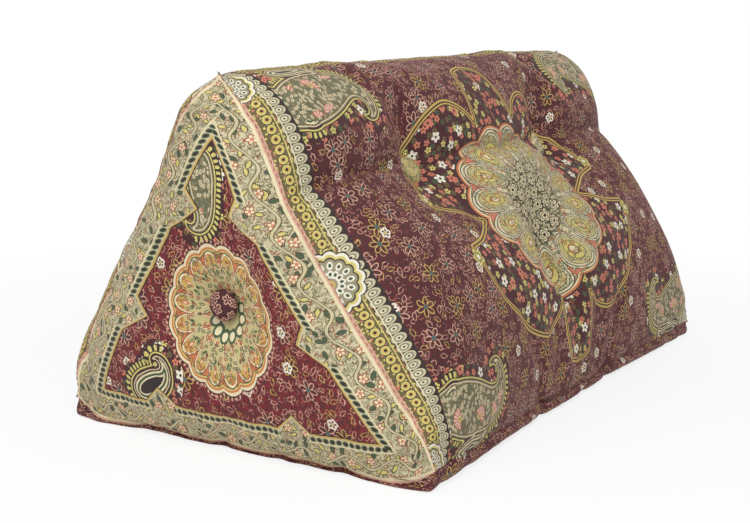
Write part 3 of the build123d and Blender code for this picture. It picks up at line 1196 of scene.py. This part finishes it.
def end_brocade(name):
    sheet = Sheet(name)
    x, y = sheet.cloth_place()
    # The end panel's ground is the lighter maroon: painted light
    colour = field_start(sheet, x, y, painted_lit_maroon, maroon)
    colour = strewn_field(sheet, colour, x, y, 4.0)
    colour = rich_ground(sheet, colour, x, y, sheet.attribute("leaf_distance") < LEAF_HALO, 5.9)
    colour = comb_leaves(sheet, colour, x, y)
    colour = end_rosette(sheet, colour, x, y)
    colour = end_border(sheet, colour, x, y)
    return finish_cloth(sheet, colour, x, y)


def end_rosette(sheet, colour, x, y):
    a = (x - END_ROSETTE[0]) / ROSETTE_HALF_WIDTH
    b = (y - END_ROSETTE[1]) / ROSETTE_HALF_HEIGHT
    far = sheet.away(a, b)
    turn = sheet.turn(a, b) / TURN
    ticks = abs(turn * ROSETTE_TICKS % 1 - 0.5) * 2
    across = abs(turn * ROSETTE_PETALS % 1 - 0.5) * 2
    scallop = 1 - 0.06 * across * across
    colour = sheet.mix(colour, pale_rose, (far < scallop * 1.09) * (ticks > 0.6))
    for reach, dye_of in ROSETTE_EDGE:
        colour = sheet.mix(colour, dye_of, far < scallop * reach)
    # wide petals side by side, orange towards the tip, with a small green leaf in each
    along = (far - 0.62) / 0.32
    drop = sheet.away(along, across * (far + 0.02) / (0.66 + 0.28 * along))
    colour = rings(sheet, colour, drop, ROSETTE_PETAL)
    colour = sheet.mix(colour, gold, (drop < 0.80) * (far > 0.74))
    colour = sheet.mix(colour, orange, sheet.away(along - 0.4, across * 1.6) < 0.26)
    colour = sheet.mix(colour, cream, sheet.away(along - 0.4, across * 1.6) < 0.12)
    sprig = abs(far - 0.60 - across * 0.10) < 0.026
    colour = sheet.mix(colour, leaf_green, sprig * (across < 0.38) * (across > 0.08))
    p, q, chance, other = sheet.scatter(x, y, 5.0, 6.6)
    line = leaf_line(sheet, p, q, 2.2, 0.9, 0.42)
    tint = sheet.mix(leaf_green, rust, other > 0.5)
    colour = sheet.mix(colour, tint, line * (far < 0.93) * (chance > 0.1))
    core = far < 0.36
    colour = sheet.mix(colour, pale_green, core)
    step = abs(turn * ROSETTE_LEAVES % 1 - 0.5) * 2
    leaf = sheet.away((far - 0.27) / 0.1, step * far * 3.2)
    colour = sheet.mix(colour, leaf_green, core * (leaf < 1.0))
    return sheet.mix(colour, cream, core * (leaf < 0.6))


def end_border(sheet, colour, x, y):
    """The wide pale border on all three sides of an end panel."""
    edge = half_width / MM * (1 - y / (seam_height / MM))
    left = (edge + x) * seam_height / slant
    right = (edge - x) * seam_height / slant
    low, left, right = y * BORDER_LOW, left * BORDER_LEFT, right * BORDER_RIGHT
    across = sheet.least(sheet.least(low, left), right)
    on_bottom = (low < left) * (low < right)
    along = on_bottom * x + (1 - on_bottom) * y * (slant / seam_height)
    # pointed half diamonds stand on the inner edge, two to a side
    slant_step = abs(y - SLANT_DIAMOND_MIDDLE) - SLANT_DIAMOND_SPREAD
    bottom_step = abs(x) - BOTTOM_DIAMOND_SPREAD
    step = abs(on_bottom * bottom_step + (1 - on_bottom) * slant_step)
    reach = sheet.most(DIAMOND_HEIGHT - step * 1.0, 0.0)
    depth = across - reach
    colour = stripe(sheet, colour, depth, PAST_SEAM, END_BORDER + 1.2, ink)
    colour = stripe(sheet, colour, depth, PAST_SEAM, END_BORDER, gold)
    colour = stripe(sheet, colour, depth, PAST_SEAM, END_BORDER - 2.0, mint)
    colour = border_filling(sheet, colour, x, y, across, along, depth)
    colour = stripe(sheet, colour, across, -9, 1.6, pale_rose)
    colour = stripe(sheet, colour, across, 1.6, 4.2, cream)
    row = (across > END_BEADS[0]) * (across < END_BEADS[1]) * (reach < 2)
    colour = sheet.mix(colour, mint, row)
    bead = sheet.away(along % END_BEAD_PITCH - END_BEAD_PITCH / 2, across - END_BEAD_MIDDLE)
    colour = sheet.mix(colour, leaf_green, (bead < 2.9) * row)
    colour = sheet.mix(colour, ink, (bead < 1.7) * row)
    return sheet.mix(colour, cream, (abs(across - 30.3) < 0.6) * (reach < 2))


def border_filling(sheet, colour, x, y, across, along, depth):
    """A vine that swings from side to side, with leaves, curls and small flowers round it."""
    band = (depth < END_BORDER - 3.2) * (across > 3)
    sway, lean = shaky_hand(sheet, x, y, VINE_SHAKE)
    p, q, chance, other = sheet.scatter(x, y, 4.4, 2.7)
    colour = sheet.mix(colour, sage, leaf_line(sheet, p + sway, q + lean, 2.3, 1.0, 0.55) * band)
    p, q, chance, other = sheet.scatter(x, y, 5.6, 5.1)
    tint = sheet.mix(olive, rust, other > 0.6)
    colour = sheet.mix(colour, tint, curl_line(sheet, p + sway, q + lean, 1.8, 0.4) * band * (chance > 0.2))
    p, q, chance, other = sheet.scatter(x, y, 9.0, 7.9)
    tint = sheet.mix(leaf_green, straw, other > 0.45)
    share = p / 3.6
    leaf = (abs(q) < (1 - share * share) * 1.5) * (abs(p) < 3.6)
    colour = sheet.mix(colour, ink, leaf_line(sheet, p, q, 4.1, 1.9, 0.36) * band * (chance > 0.3))
    colour = sheet.mix(colour, tint, leaf * band * (chance > 0.3))
    p, q, chance, other = sheet.scatter(x, y, 19, 8.3)
    line, far = flower_line(sheet, p, q, 5, 4.4, 0.4, 0.45)
    shown = band * (chance > 0.35)
    colour = sheet.mix(colour, cream, (far < 4.0) * shown)
    colour = sheet.mix(colour, rust, line * shown)
    colour = sheet.mix(colour, salmon, (far < 1.4) * shown)
    swing = abs(across - sheet.sine(along * (TURN / VINE_PITCH)) * VINE_SWING - VINE_MIDDLE)
    colour = sheet.mix(colour, mint, (swing < 1.3) * band)
    return sheet.mix(colour, olive, (abs(swing - 1.5) < 0.4) * band)


def base_brocade(name):
    sheet = Sheet(name)
    x, y = sheet.cloth_place()
    colour = field_start(sheet, x, y, maroon, deep_maroon)
    colour = strewn_field(sheet, colour, x, y, 9.0)
    return finish_cloth(sheet, colour, x, y)


# The weave: its sheen, the width of its ribs in mm, how dark they are and how far they stand out
SHEEN = 0.18
SHEEN_ROUGHNESS = 0.4
RIB = 1.5
RIB_SHADE = 0.12
BUMP_HEIGHT = 0.4 * MM


def finish_cloth(sheet, colour, x, y):
    """Ribs of the weave in the colour and the surface, and the cloth's soft sheen."""
    ribs = sheet.cosine(x * (TURN / RIB)) * sheet.cosine(y * (TURN / RIB))
    worn = sheet.noise(x, y, 140, 3)
    shade = ribs * RIB_SHADE + (1 - worn) * 0.16
    colour = sheet.mix(colour, ink, sheet.most(shade, 0.0))
    slub = sheet.noise(x, y, 2.4, 3)
    relief = {"Height": ribs * 0.5 + slub, "Distance": BUMP_HEIGHT, "Strength": 0.55}
    bump = sheet.node("Bump", inputs=relief)
    sheet.feed(sheet.shader.inputs["Sheen Weight"], SHEEN)
    sheet.feed(sheet.shader.inputs["Sheen Roughness"], SHEEN_ROUGHNESS)
    sheet.feed(sheet.shader.inputs["Sheen Tint"], rose)
    return sheet.dress(colour, 0.6 + slub * 0.2, bump)


def button_brocade(name):
    """Offcuts of the brocade over each button: a ground that differs from one to the next."""
    sheet = Sheet(name)
    x, y = sheet.cloth_place()
    ground = sheet.attribute("button_ground")
    colour = sheet.mix(pale_green, cream, ground > 0.5)
    colour = sheet.mix(colour, maroon, ground > 1.5)
    colour = sheet.mix(colour, deep_maroon, ground > 2.5)
    dark = ground > 1.5
    line_dye = sheet.mix(olive, pale_rose, dark)
    p, q, chance, other = sheet.scatter(x, y, 10, 2.1)
    line, far = flower_line(sheet, p, q, 5, 4.4, 0.55, 0.4)
    colour = sheet.mix(colour, line_dye, line)
    p, q, chance, other = sheet.scatter(x, y, 5.5, 6.3)
    tint = sheet.mix(gold, leaf_green, (1 - dark) * (other > 0.4))
    colour = sheet.mix(colour, tint, leaf_line(sheet, p, q, 2.6, 1.0, 0.4) * (ground < 2.5))
    return finish_cloth(sheet, colour, x, y)


def plain_cloth(name, dye_of, shadow, rib, rough):
    sheet = Sheet(name)
    place = sheet.node("TexCoord")
    parts = sheet.node("SeparateXYZ", inputs={0: place.outputs["Object"]})
    x, y, z = [Thread(sheet, s) / MM for s in parts.outputs]
    ribs = sheet.cosine((x + z) * (TURN / rib)) * sheet.cosine((y - z) * (TURN / rib))
    noise = sheet.node("TexNoise", inputs={"Vector": place.outputs["Object"], "Scale": 90.0, "Detail": 5.0})
    uneven = Thread(sheet, noise.outputs["Fac"])
    colour = sheet.mix(dye_of, shadow, uneven * 0.7 + ribs * 0.1)
    bump = sheet.node("Bump", inputs={"Height": ribs * 0.4 + uneven, "Distance": BUMP_HEIGHT * 2})
    return sheet.dress(colour, rough + uneven * 0.1, bump)


def foam_cells(name):
    sheet = Sheet(name)
    place = sheet.node("TexCoord")
    cells = sheet.node("TexVoronoi", inputs={"Vector": place.outputs["Object"], "Scale": 420.0})
    hollow = Thread(sheet, cells.outputs["Distance"])
    # The colour is darker in the cells' hollows: painted shade in the pores
    colour = sheet.mix(dye(232, 214, 158), dye(176, 150, 92), 1 - hollow)
    bump = sheet.node("Bump", inputs={"Height": hollow, "Distance": BUMP_HEIGHT * 2})
    return sheet.dress(colour, 0.85 + hollow * 0.1, bump)


def brushed_metal(name):
    sheet = Sheet(name)
    place = sheet.node("TexCoord")
    noise = sheet.node("TexNoise", inputs={"Vector": place.outputs["Object"], "Scale": 700.0, "Detail": 3.0})
    grain = Thread(sheet, noise.outputs["Fac"])
    colour = sheet.mix(dye(190, 190, 190), dye(150, 150, 152), grain)
    sheet.shader.inputs["Metallic"].default_value = 1
    return sheet.dress(colour, 0.3 + grain * 0.2)


# From the swollen cloth to the five panels, on a mesh fine enough for small folds
FINE_LEVELS = 2
SEAM_CREASE = 0.45
PLEATS = 9
PLEAT_HEIGHT = 1.5 * MM
PLEAT_REACH = 44 * MM
PUCKER_HEIGHT = 1.6 * MM
PUCKER_REACH = 14 * MM
PUCKER_SIZE = 16 * MM
SEAM_PINCH = 1.5 * MM
PINCH_REACH = 4 * MM
UNEVENNESS = 1.6 * MM
UNEVEN_SIZE = 85 * MM
UNEVEN_START = 40 * MM
PLEAT_DEPTH = 70 * MM


def loop_values(mesh):
    """The corners, cloth places and panel of every four-sided face."""
    corners = values_of(mesh.loops, "vertex_index", kind=int).reshape(-1, 4)
    cloth = values_of(mesh.uv_layers["cloth"].data, "uv", 2).reshape(-1, 4, 2)
    return corners, cloth, values_of(mesh.polygons, "material_index", kind=int)


def seam_of(mesh, panel_of):
    """Which edges join two panels."""
    edge_of = values_of(mesh.loops, "edge_index", kind=int).reshape(-1, 4)
    low = np.full(len(mesh.edges), len(PANELS))
    high = np.full(len(mesh.edges), -1)
    np.minimum.at(low, edge_of, panel_of[:, None])
    np.maximum.at(high, edge_of, panel_of[:, None])
    return low != high


def seam_distance(corners, cloth, panel_of, count):
    """How far each point is from the nearest seam, over the cloth."""
    x, y = cloth[..., 0], cloth[..., 1]
    width = np.where(panel_of == 2, 2 * half_width, slant)[:, None]
    on_long = np.minimum(half_length - np.abs(x), np.minimum(y, width - y))
    side = (half_width * (1 - y / seam_height) - np.abs(x)) * seam_height / slant
    on_end = np.minimum(y, side)
    away = np.where(panel_of[:, None] > 2, on_end, on_long)
    nearest = np.full(count, 1.0)
    np.minimum.at(nearest, corners, away)
    return np.maximum(nearest, 0)


def ripple(points, size, seed):
    shift = Vector((seed, -seed, seed * 0.5))
    return np.array([noise.noise(Vector(p) / size + shift) for p in points])


def add_folds(points, normals, from_seam):
    """Pleats round the tufts, gathers along the seams and an uneven filling."""
    height = ripple(points, UNEVEN_SIZE, 3.0) * UNEVENNESS * np.clip(from_seam / UNEVEN_START, 0, 1)
    height += ripple(points, PUCKER_SIZE, 7.0) * PUCKER_HEIGHT * np.exp(-from_seam / PUCKER_REACH)
    height -= SEAM_PINCH * np.exp(-((from_seam / PINCH_REACH) ** 2))
    for number, (name, seat, outward) in enumerate(tuft_places()):
        facing = np.array(outward)
        offset = points - np.array(seat)
        deep = offset @ facing
        flat = offset - deep[:, None] * facing
        away = np.linalg.norm(flat, axis=1)
        side = np.array(outward.orthogonal().normalized())
        turn = np.arctan2(flat @ np.cross(facing, side), flat @ side)
        wave = np.sin(PLEATS * turn + number + 1.4 * np.sin(2 * turn + number))
        share = np.clip((away - seat_radius) / PLEAT_REACH, 0, 1)
        fade = share ** 0.7 * np.exp(-3.0 * share ** 2) * 1.6 * (np.abs(deep) < PLEAT_DEPTH)
        height += wave * fade * PLEAT_HEIGHT * (away < seat_radius + 2 * PLEAT_REACH)
    return points + normals * height[:, None]


def new_piece(name, mesh, material, replaced):
    piece = bpy.data.objects.new(name, mesh)
    bpy.context.scene.collection.objects.link(piece)
    mesh.materials.clear()
    mesh.materials.append(material)
    mesh.polygons.foreach_set("use_smooth", [True] * len(mesh.polygons))
    mesh.update()
    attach(piece, BODY)
    if replaced:
        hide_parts(*replaced)
    return piece


def cut_panel(name, number, points, corners, cloth, panel_of):
    """One panel of the cover as a mesh of its own, with its cloth places and a map for baking."""
    mine = corners[panel_of == number]
    used, local = np.unique(mine, return_inverse=True)
    local = local.reshape(-1, 4)
    mesh = bpy.data.meshes.new(name)
    mesh.from_pydata(points[used].tolist(), [], local.tolist())
    my_cloth = cloth[panel_of == number]
    flat = my_cloth.reshape(-1, 2)
    mesh.uv_layers.new(name="cloth").data.foreach_set("uv", flat.ravel())
    low, high = flat.min(axis=0), flat.max(axis=0)
    mesh.uv_layers.new(name="OFBake").data.foreach_set("uv", ((flat - low) / (high - low)).ravel())
    at_point = np.zeros((len(used), 2))
    at_point[local.ravel()] = flat
    return mesh, at_point / MM


def refined_cover():
    """The swollen cover, subdivided, with its seams creased."""
    rough = cover.data
    seam = seam_keys(rough)
    crease = rough.attributes.new("crease_edge", "FLOAT", "EDGE")
    for edge in rough.edges:
        if edge.key in seam:
            crease.data[edge.index].value = SEAM_CREASE
    finer = cover.modifiers.new("finer", "SUBSURF")
    finer.levels = finer.render_levels = FINE_LEVELS
    finer.uv_smooth = "NONE"
    seen = cover.evaluated_get(bpy.context.evaluated_depsgraph_get())
    mesh = bpy.data.meshes.new_from_object(seen)
    cover.modifiers.remove(finer)
    return mesh


def sew_cover(mesh):
    """Cuts the fine cover into its five panels, dresses each and says which edges are seams."""
    corners, cloth, panel_of = loop_values(mesh)
    points = points_of(mesh)
    from_seam = seam_distance(corners, cloth, panel_of, len(points))
    points = add_folds(points, normals_of(mesh), from_seam)
    points[:, 2] = np.maximum(points[:, 2], 0)
    move_points(mesh, points)
    long_cloth = long_brocade("long_panel_brocade")
    end_cloth = end_brocade("end_panel_brocade")
    base_cloth = base_brocade("base_panel_brocade")
    cloths = (long_cloth, long_cloth, base_cloth, end_cloth, end_cloth)
    for number, (node, material) in enumerate(zip(PANELS, cloths)):
        panel, at_point = cut_panel(node + "_brocade", number, points, corners, cloth, panel_of)
        if number < 2:
            draw_long_panel(panel, at_point)
        elif number > 2:
            draw_end_panel(panel, at_point)
        new_piece(node + "_brocade", panel, material, [node])
    return seam_of(mesh, panel_of)


LINING_DEPTH = 8 * MM
WADDING_DEPTH = 12 * MM
PAD_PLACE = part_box("wadding_wrap")[1][0]
PAD_GAP = 1 * MM


def stuffing(name, node, depth, low, high, material):
    """A soft layer under the cover: its form drawn in by a depth, and cut to a stretch along X."""
    mesh = cover.data.copy()
    mesh.name = name
    for layer in list(mesh.uv_layers):
        mesh.uv_layers.remove(layer)
    mesh.attributes.remove(mesh.attributes["crease_edge"])
    mesh.polygons.foreach_set("material_index", [0] * len(mesh.polygons))
    points = points_of(mesh) - normals_of(mesh) * depth
    points[:, 2] = np.maximum(points[:, 2], depth)
    mesh.vertices.foreach_set("co", points.ravel())
    with opened(mesh) as work:
        for place, facing in ((low, -1), (high, 1)):
            if place is None:
                continue
            whole = list(work.verts) + list(work.edges) + list(work.faces)
            plane = {"plane_co": (place, 0, 0), "plane_no": (facing, 0, 0)}
            cut = bmesh.ops.bisect_plane(work, geom=whole, clear_outer=True, **plane)
            rim = [e for e in cut["geom_cut"] if isinstance(e, bmesh.types.BMEdge)]
            bmesh.ops.contextual_create(work, geom=rim)
    mesh.update()
    return new_piece(name, mesh, material, [node])


def add_stuffing():
    lining = plain_cloth("lining_cloth", dye(214, 204, 180), dye(180, 168, 140), 0.8, 0.8)
    fibre = plain_cloth("wadding_fibre", dye(238, 236, 230), dye(204, 200, 190), 3.0, 0.9)
    stuffing("lining_bag_cloth", "lining_bag", LINING_DEPTH, None, None, lining)
    stuffing("wadding_wrap_fibre", "wadding_wrap", WADDING_DEPTH, -PAD_PLACE, PAD_PLACE, fibre)
    past = PAD_PLACE + PAD_GAP
    stuffing("near_end_wadding_fibre", "near_end_wadding", WADDING_DEPTH, None, -past, fibre)
    stuffing("far_end_wadding_fibre", "far_end_wadding", WADDING_DEPTH, past, None, fibre)


# Buttons: rings from the rim to the top of the dome, and the ground of the cloth on each
BUTTON_SIDES = 40
BUTTON_RINGS = 12
button_height = 9 * MM
button_rim = 3 * MM
button_grounds = {"near_upper": 0, "far_upper": 1, "lower": 2, "near_end": 3, "far_end": 3}
BUTTON_UNDERSIDE_SHARE = 0.86
BUTTON_CLOTH_SHARE = 1.3
BUTTON_CLOTH_STEP = (31 * MM, 17 * MM)
BUTTON_FOLDS = 11
BUTTON_FOLD_HEIGHT = 0.5 * MM
WELD = 0.05 * MM


def button_points(seat, outward):
    """A domed button whose cloth is gathered under its rim: rings of points, and their cloth."""
    side = outward.orthogonal().normalized()
    up = outward.cross(side)
    points, cloth = [], []
    for ring in range(BUTTON_RINGS + 1):
        share = ring / BUTTON_RINGS
        for k in range(BUTTON_SIDES):
            turn = 2 * math.pi * k / BUTTON_SIDES
            if ring == 0:
                reach, height = button_radius * BUTTON_UNDERSIDE_SHARE, 0.0
            else:
                angle = (share - 1 / BUTTON_RINGS) / (1 - 1 / BUTTON_RINGS) * math.pi / 2
                reach = button_radius * math.cos(angle)
                height = button_rim + (button_height - button_rim) * math.sin(angle)
            gather = math.sin(BUTTON_FOLDS * turn) * BUTTON_FOLD_HEIGHT * (1 - share) ** 2
            reach += gather * (reach > 2 * MM)
            around = side * math.cos(turn) * reach + up * math.sin(turn) * reach
            points.append(seat + around + outward * height)
            flat = button_radius * BUTTON_CLOTH_SHARE * (1 - share)
            cloth.append((math.cos(turn) * flat, math.sin(turn) * flat))
    return points, cloth


def add_buttons():
    material = button_brocade("button_brocade")
    places = tuft_places()
    for start in ("front", "back", "end"):
        node = start + "_button_caps"
        mine = [p for p in places if p[0].startswith(start) or p[0].endswith("_end") and start == "end"]
        points, faces, cloth, ground = [], [], [], []
        for number, (name, seat, outward) in enumerate(mine):
            base = len(points)
            ring_points, ring_cloth = button_points(seat, outward)
            points += ring_points
            shift = [step * number for step in BUTTON_CLOTH_STEP]
            cloth += [(a + shift[0], b + shift[1]) for a, b in ring_cloth]
            kind = name if start == "end" else name.split("_", 1)[1]
            ground += [button_grounds[kind]] * len(ring_points)
            for ring in range(BUTTON_RINGS):
                for k in range(BUTTON_SIDES):
                    a = base + ring * BUTTON_SIDES + k
                    b = base + ring * BUTTON_SIDES + (k + 1) % BUTTON_SIDES
                    faces.append((a, b, b + BUTTON_SIDES, a + BUTTON_SIDES))
            faces.append(tuple(base + k for k in reversed(range(BUTTON_SIDES))))
        mesh = bpy.data.meshes.new(node + "_brocade")
        mesh.from_pydata(points, [], faces)
        flat = [cloth[mesh.loops[k].vertex_index] for k in range(len(mesh.loops))]
        mesh.uv_layers.new(name="cloth").data.foreach_set("uv", np.array(flat).ravel())
        put_attribute(mesh, "button_ground", ground)
        with opened(mesh) as work:
            bmesh.ops.remove_doubles(work, verts=work.verts, dist=WELD)
        new_piece(node + "_brocade", mesh, material, [node])


# Small hand stitches along every seam
STITCH_PITCH = 7 * MM
STITCH_LENGTH = 4 * MM
STITCH_THICKNESS = 0.3 * MM
STITCH_LIFT = 0.4 * MM
STITCH_SEED = 5
SHORTEST_STITCH = 0.8
LONGEST_STITCH = 1.15


def stitching_tree(material):
    """Geometry Nodes that lay a short bent stitch at every step of a path."""
    tree = bpy.data.node_groups.new("seam_stitching", "GeometryNodeTree")
    tree.interface.new_socket("Path", in_out="INPUT", socket_type="NodeSocketGeometry")
    for name in ("Pitch", "Stitch Length", "Thickness", "Lift"):
        tree.interface.new_socket(name, in_out="INPUT", socket_type="NodeSocketFloat")
    tree.interface.new_socket("Seed", in_out="INPUT", socket_type="NodeSocketInt")
    tree.interface.new_socket("Stitches", in_out="OUTPUT", socket_type="NodeSocketGeometry")

    def node(kind, inputs=None, **settings):
        made = tree.nodes.new(kind)
        for key, value in settings.items():
            setattr(made, key, value)
        for key, value in (inputs or {}).items():
            if isinstance(value, bpy.types.NodeSocket):
                tree.links.new(value, made.inputs[key])
            else:
                made.inputs[key].default_value = value
        return made

    sizes = tree.nodes.new("NodeGroupInput").outputs
    half = node("ShaderNodeMath", {0: sizes["Stitch Length"], 1: 0.5}, operation="MULTIPLY").outputs[0]
    back = node("ShaderNodeMath", {0: half, 1: -1.0}, operation="MULTIPLY").outputs[0]
    start = node("ShaderNodeCombineXYZ", {0: back}).outputs[0]
    top = node("ShaderNodeCombineXYZ", {2: sizes["Lift"]}).outputs[0]
    end = node("ShaderNodeCombineXYZ", {0: half}).outputs[0]
    stops = {"Start": start, "Middle": top, "End": end}
    bend = node("GeometryNodeCurveQuadraticBezier", {"Resolution": 5, **stops})
    ring = node("GeometryNodeCurvePrimitiveCircle", {"Resolution": 6, "Radius": sizes["Thickness"]})
    round_it = {"Curve": bend.outputs[0], "Profile Curve": ring.outputs[0], "Fill Caps": True}
    stitch = node("GeometryNodeCurveToMesh", round_it)
    path = node("GeometryNodeMeshToCurve", {"Mesh": sizes["Path"]})
    spaced = {"Curve": path.outputs[0], "Length": sizes["Pitch"]}
    steps = node("GeometryNodeResampleCurve", spaced, mode="LENGTH")
    along = node("GeometryNodeInputTangent").outputs[0]
    outward = node("GeometryNodeInputNamedAttribute", {"Name": "outward"}, data_type="FLOAT_VECTOR")
    turn = node(
        "FunctionNodeAxesToRotation",
        {"Primary Axis": along, "Secondary Axis": outward.outputs["Attribute"]},
        primary_axis="X", secondary_axis="Z",
    )
    between = {"Min": SHORTEST_STITCH, "Max": LONGEST_STITCH, "Seed": sizes["Seed"]}
    chance = node("FunctionNodeRandomValue", between, data_type="FLOAT")
    laid = node(
        "GeometryNodeInstanceOnPoints",
        {"Points": steps.outputs[0], "Instance": stitch.outputs[0], "Rotation": turn.outputs[0]},
    )
    for socket in chance.outputs:
        if socket.enabled and socket.type == "VALUE":
            tree.links.new(socket, laid.inputs["Scale"])
    real = node("GeometryNodeRealizeInstances", {0: laid.outputs[0]})
    dressed = node("GeometryNodeSetMaterial", {"Geometry": real.outputs[0], "Material": material})
    out = tree.nodes.new("NodeGroupOutput")
    tree.links.new(dressed.outputs[0], out.inputs[0])
    return tree


def add_stitches(mesh, on_seam):
    ends = values_of(mesh.edges, "vertices", 2, int)[on_seam]
    used, local = np.unique(ends, return_inverse=True)
    path = bpy.data.meshes.new("seam_path")
    path.from_pydata(points_of(mesh)[used].tolist(), local.reshape(-1, 2).tolist(), [])
    outward = path.attributes.new("outward", "FLOAT_VECTOR", "POINT")
    outward.data.foreach_set("vector", normals_of(mesh)[used].ravel())
    piece = bpy.data.objects.new("seam_path", path)
    bpy.context.scene.collection.objects.link(piece)
    thread = plain_cloth("seam_thread", dye(150, 60, 58), dye(96, 30, 34), 0.7, 0.6)
    tree = stitching_tree(thread)
    made = piece.modifiers.new("stitching", "NODES")
    made.node_group = tree
    sizes = {"Pitch": STITCH_PITCH, "Stitch Length": STITCH_LENGTH, "Thickness": STITCH_THICKNESS,
             "Lift": STITCH_LIFT, "Seed": STITCH_SEED}
    for item in tree.interface.items_tree:
        if item.name in sizes:
            made[item.identifier] = sizes[item.name]
    seen = piece.evaluated_get(bpy.context.evaluated_depsgraph_get())
    stitches = bpy.data.meshes.new_from_object(seen)
    stitches.name = "seam_stitches"
    bpy.data.objects.remove(piece)
    new_piece("seam_stitches", stitches, thread, [])


def dress_hidden_nodes():
    """Procedural finishes for the frame's own hidden pieces."""
    metal = brushed_metal("button_metal")
    twine = plain_cloth("waxed_twine", dye(196, 172, 120), dye(150, 122, 74), 1.1, 0.6)
    finishes = {"foam_core": foam_cells("open_cell_foam"), "cross_twines": twine, "lengthwise_twine": twine}
    for node in ("front_button_backs", "back_button_backs", "end_button_backs"):
        finishes[node] = metal
    for name, material in finishes.items():
        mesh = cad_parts[name].data
        mesh.materials.clear()
        mesh.materials.append(material)


FLOOR_SIZE = 60
FLOOR_DYE = (0.93, 0.93, 0.93)
FLOOR_GLOW = 0.72
FLOOR_FADE = 1.0
STUDIO_LIGHT = 0.42


def add_floor():
    bpy.ops.mesh.primitive_plane_add(size=FLOOR_SIZE, location=(0, 0, 0))
    floor = bpy.context.object
    floor.name = "floor"
    sheet = Sheet("pale_floor")
    sheet.shader.inputs["Base Color"].default_value = (*FLOOR_DYE, 1)
    sheet.shader.inputs["Roughness"].default_value = 1
    glow = sheet.node("Emission", inputs={"Color": (1.0, 1.0, 1.0), "Strength": 1.0})
    place = sheet.node("TexCoord")
    far = sheet.node("VectorMath", {"operation": "LENGTH"}, {0: place.outputs["Object"]})
    paler = sheet.least(Thread(sheet, far.outputs["Value"]) * FLOOR_FADE, 1.0)
    seen = seen_directly(sheet) * (paler * (1 - FLOOR_GLOW) + FLOOR_GLOW)
    blend = sheet.node("MixShader", inputs={0: seen, 1: sheet.shader.outputs[0], 2: glow.outputs[0]})
    out = sheet.tree.nodes["Material Output"]
    sheet.tree.links.new(blend.outputs[0], out.inputs["Surface"])
    floor.data.materials.append(sheet.material)


def seen_directly(sheet):
    """1 where the camera looks straight at it, or at its reflection."""
    rays = sheet.node("LightPath").outputs
    direct = sheet.most(Thread(sheet, rays["Is Camera Ray"]), Thread(sheet, rays["Is Glossy Ray"]))
    return sheet.most(direct, Thread(sheet, rays["Is Transmission Ray"]))


def add_world():
    world = bpy.data.worlds.new("studio")
    sheet = Sheet(world=world)
    ground = world.node_tree.nodes["Background"]
    ground.inputs[0].default_value = (1, 1, 1, 1)
    seen = seen_directly(sheet)
    sheet.feed(ground.inputs[1], seen * (1 - STUDIO_LIGHT) + STUDIO_LIGHT)
    bpy.context.scene.world = world


points = sim_cover(cover, points)
points = roll_base_edges(settle(points), cover)
move_points(cover.data, points)

fine = refined_cover()
on_seam = sew_cover(fine)
add_stitches(fine, on_seam)
add_buttons()
add_stuffing()
dress_hidden_nodes()
bpy.data.objects.remove(cover)
add_floor()
add_world()
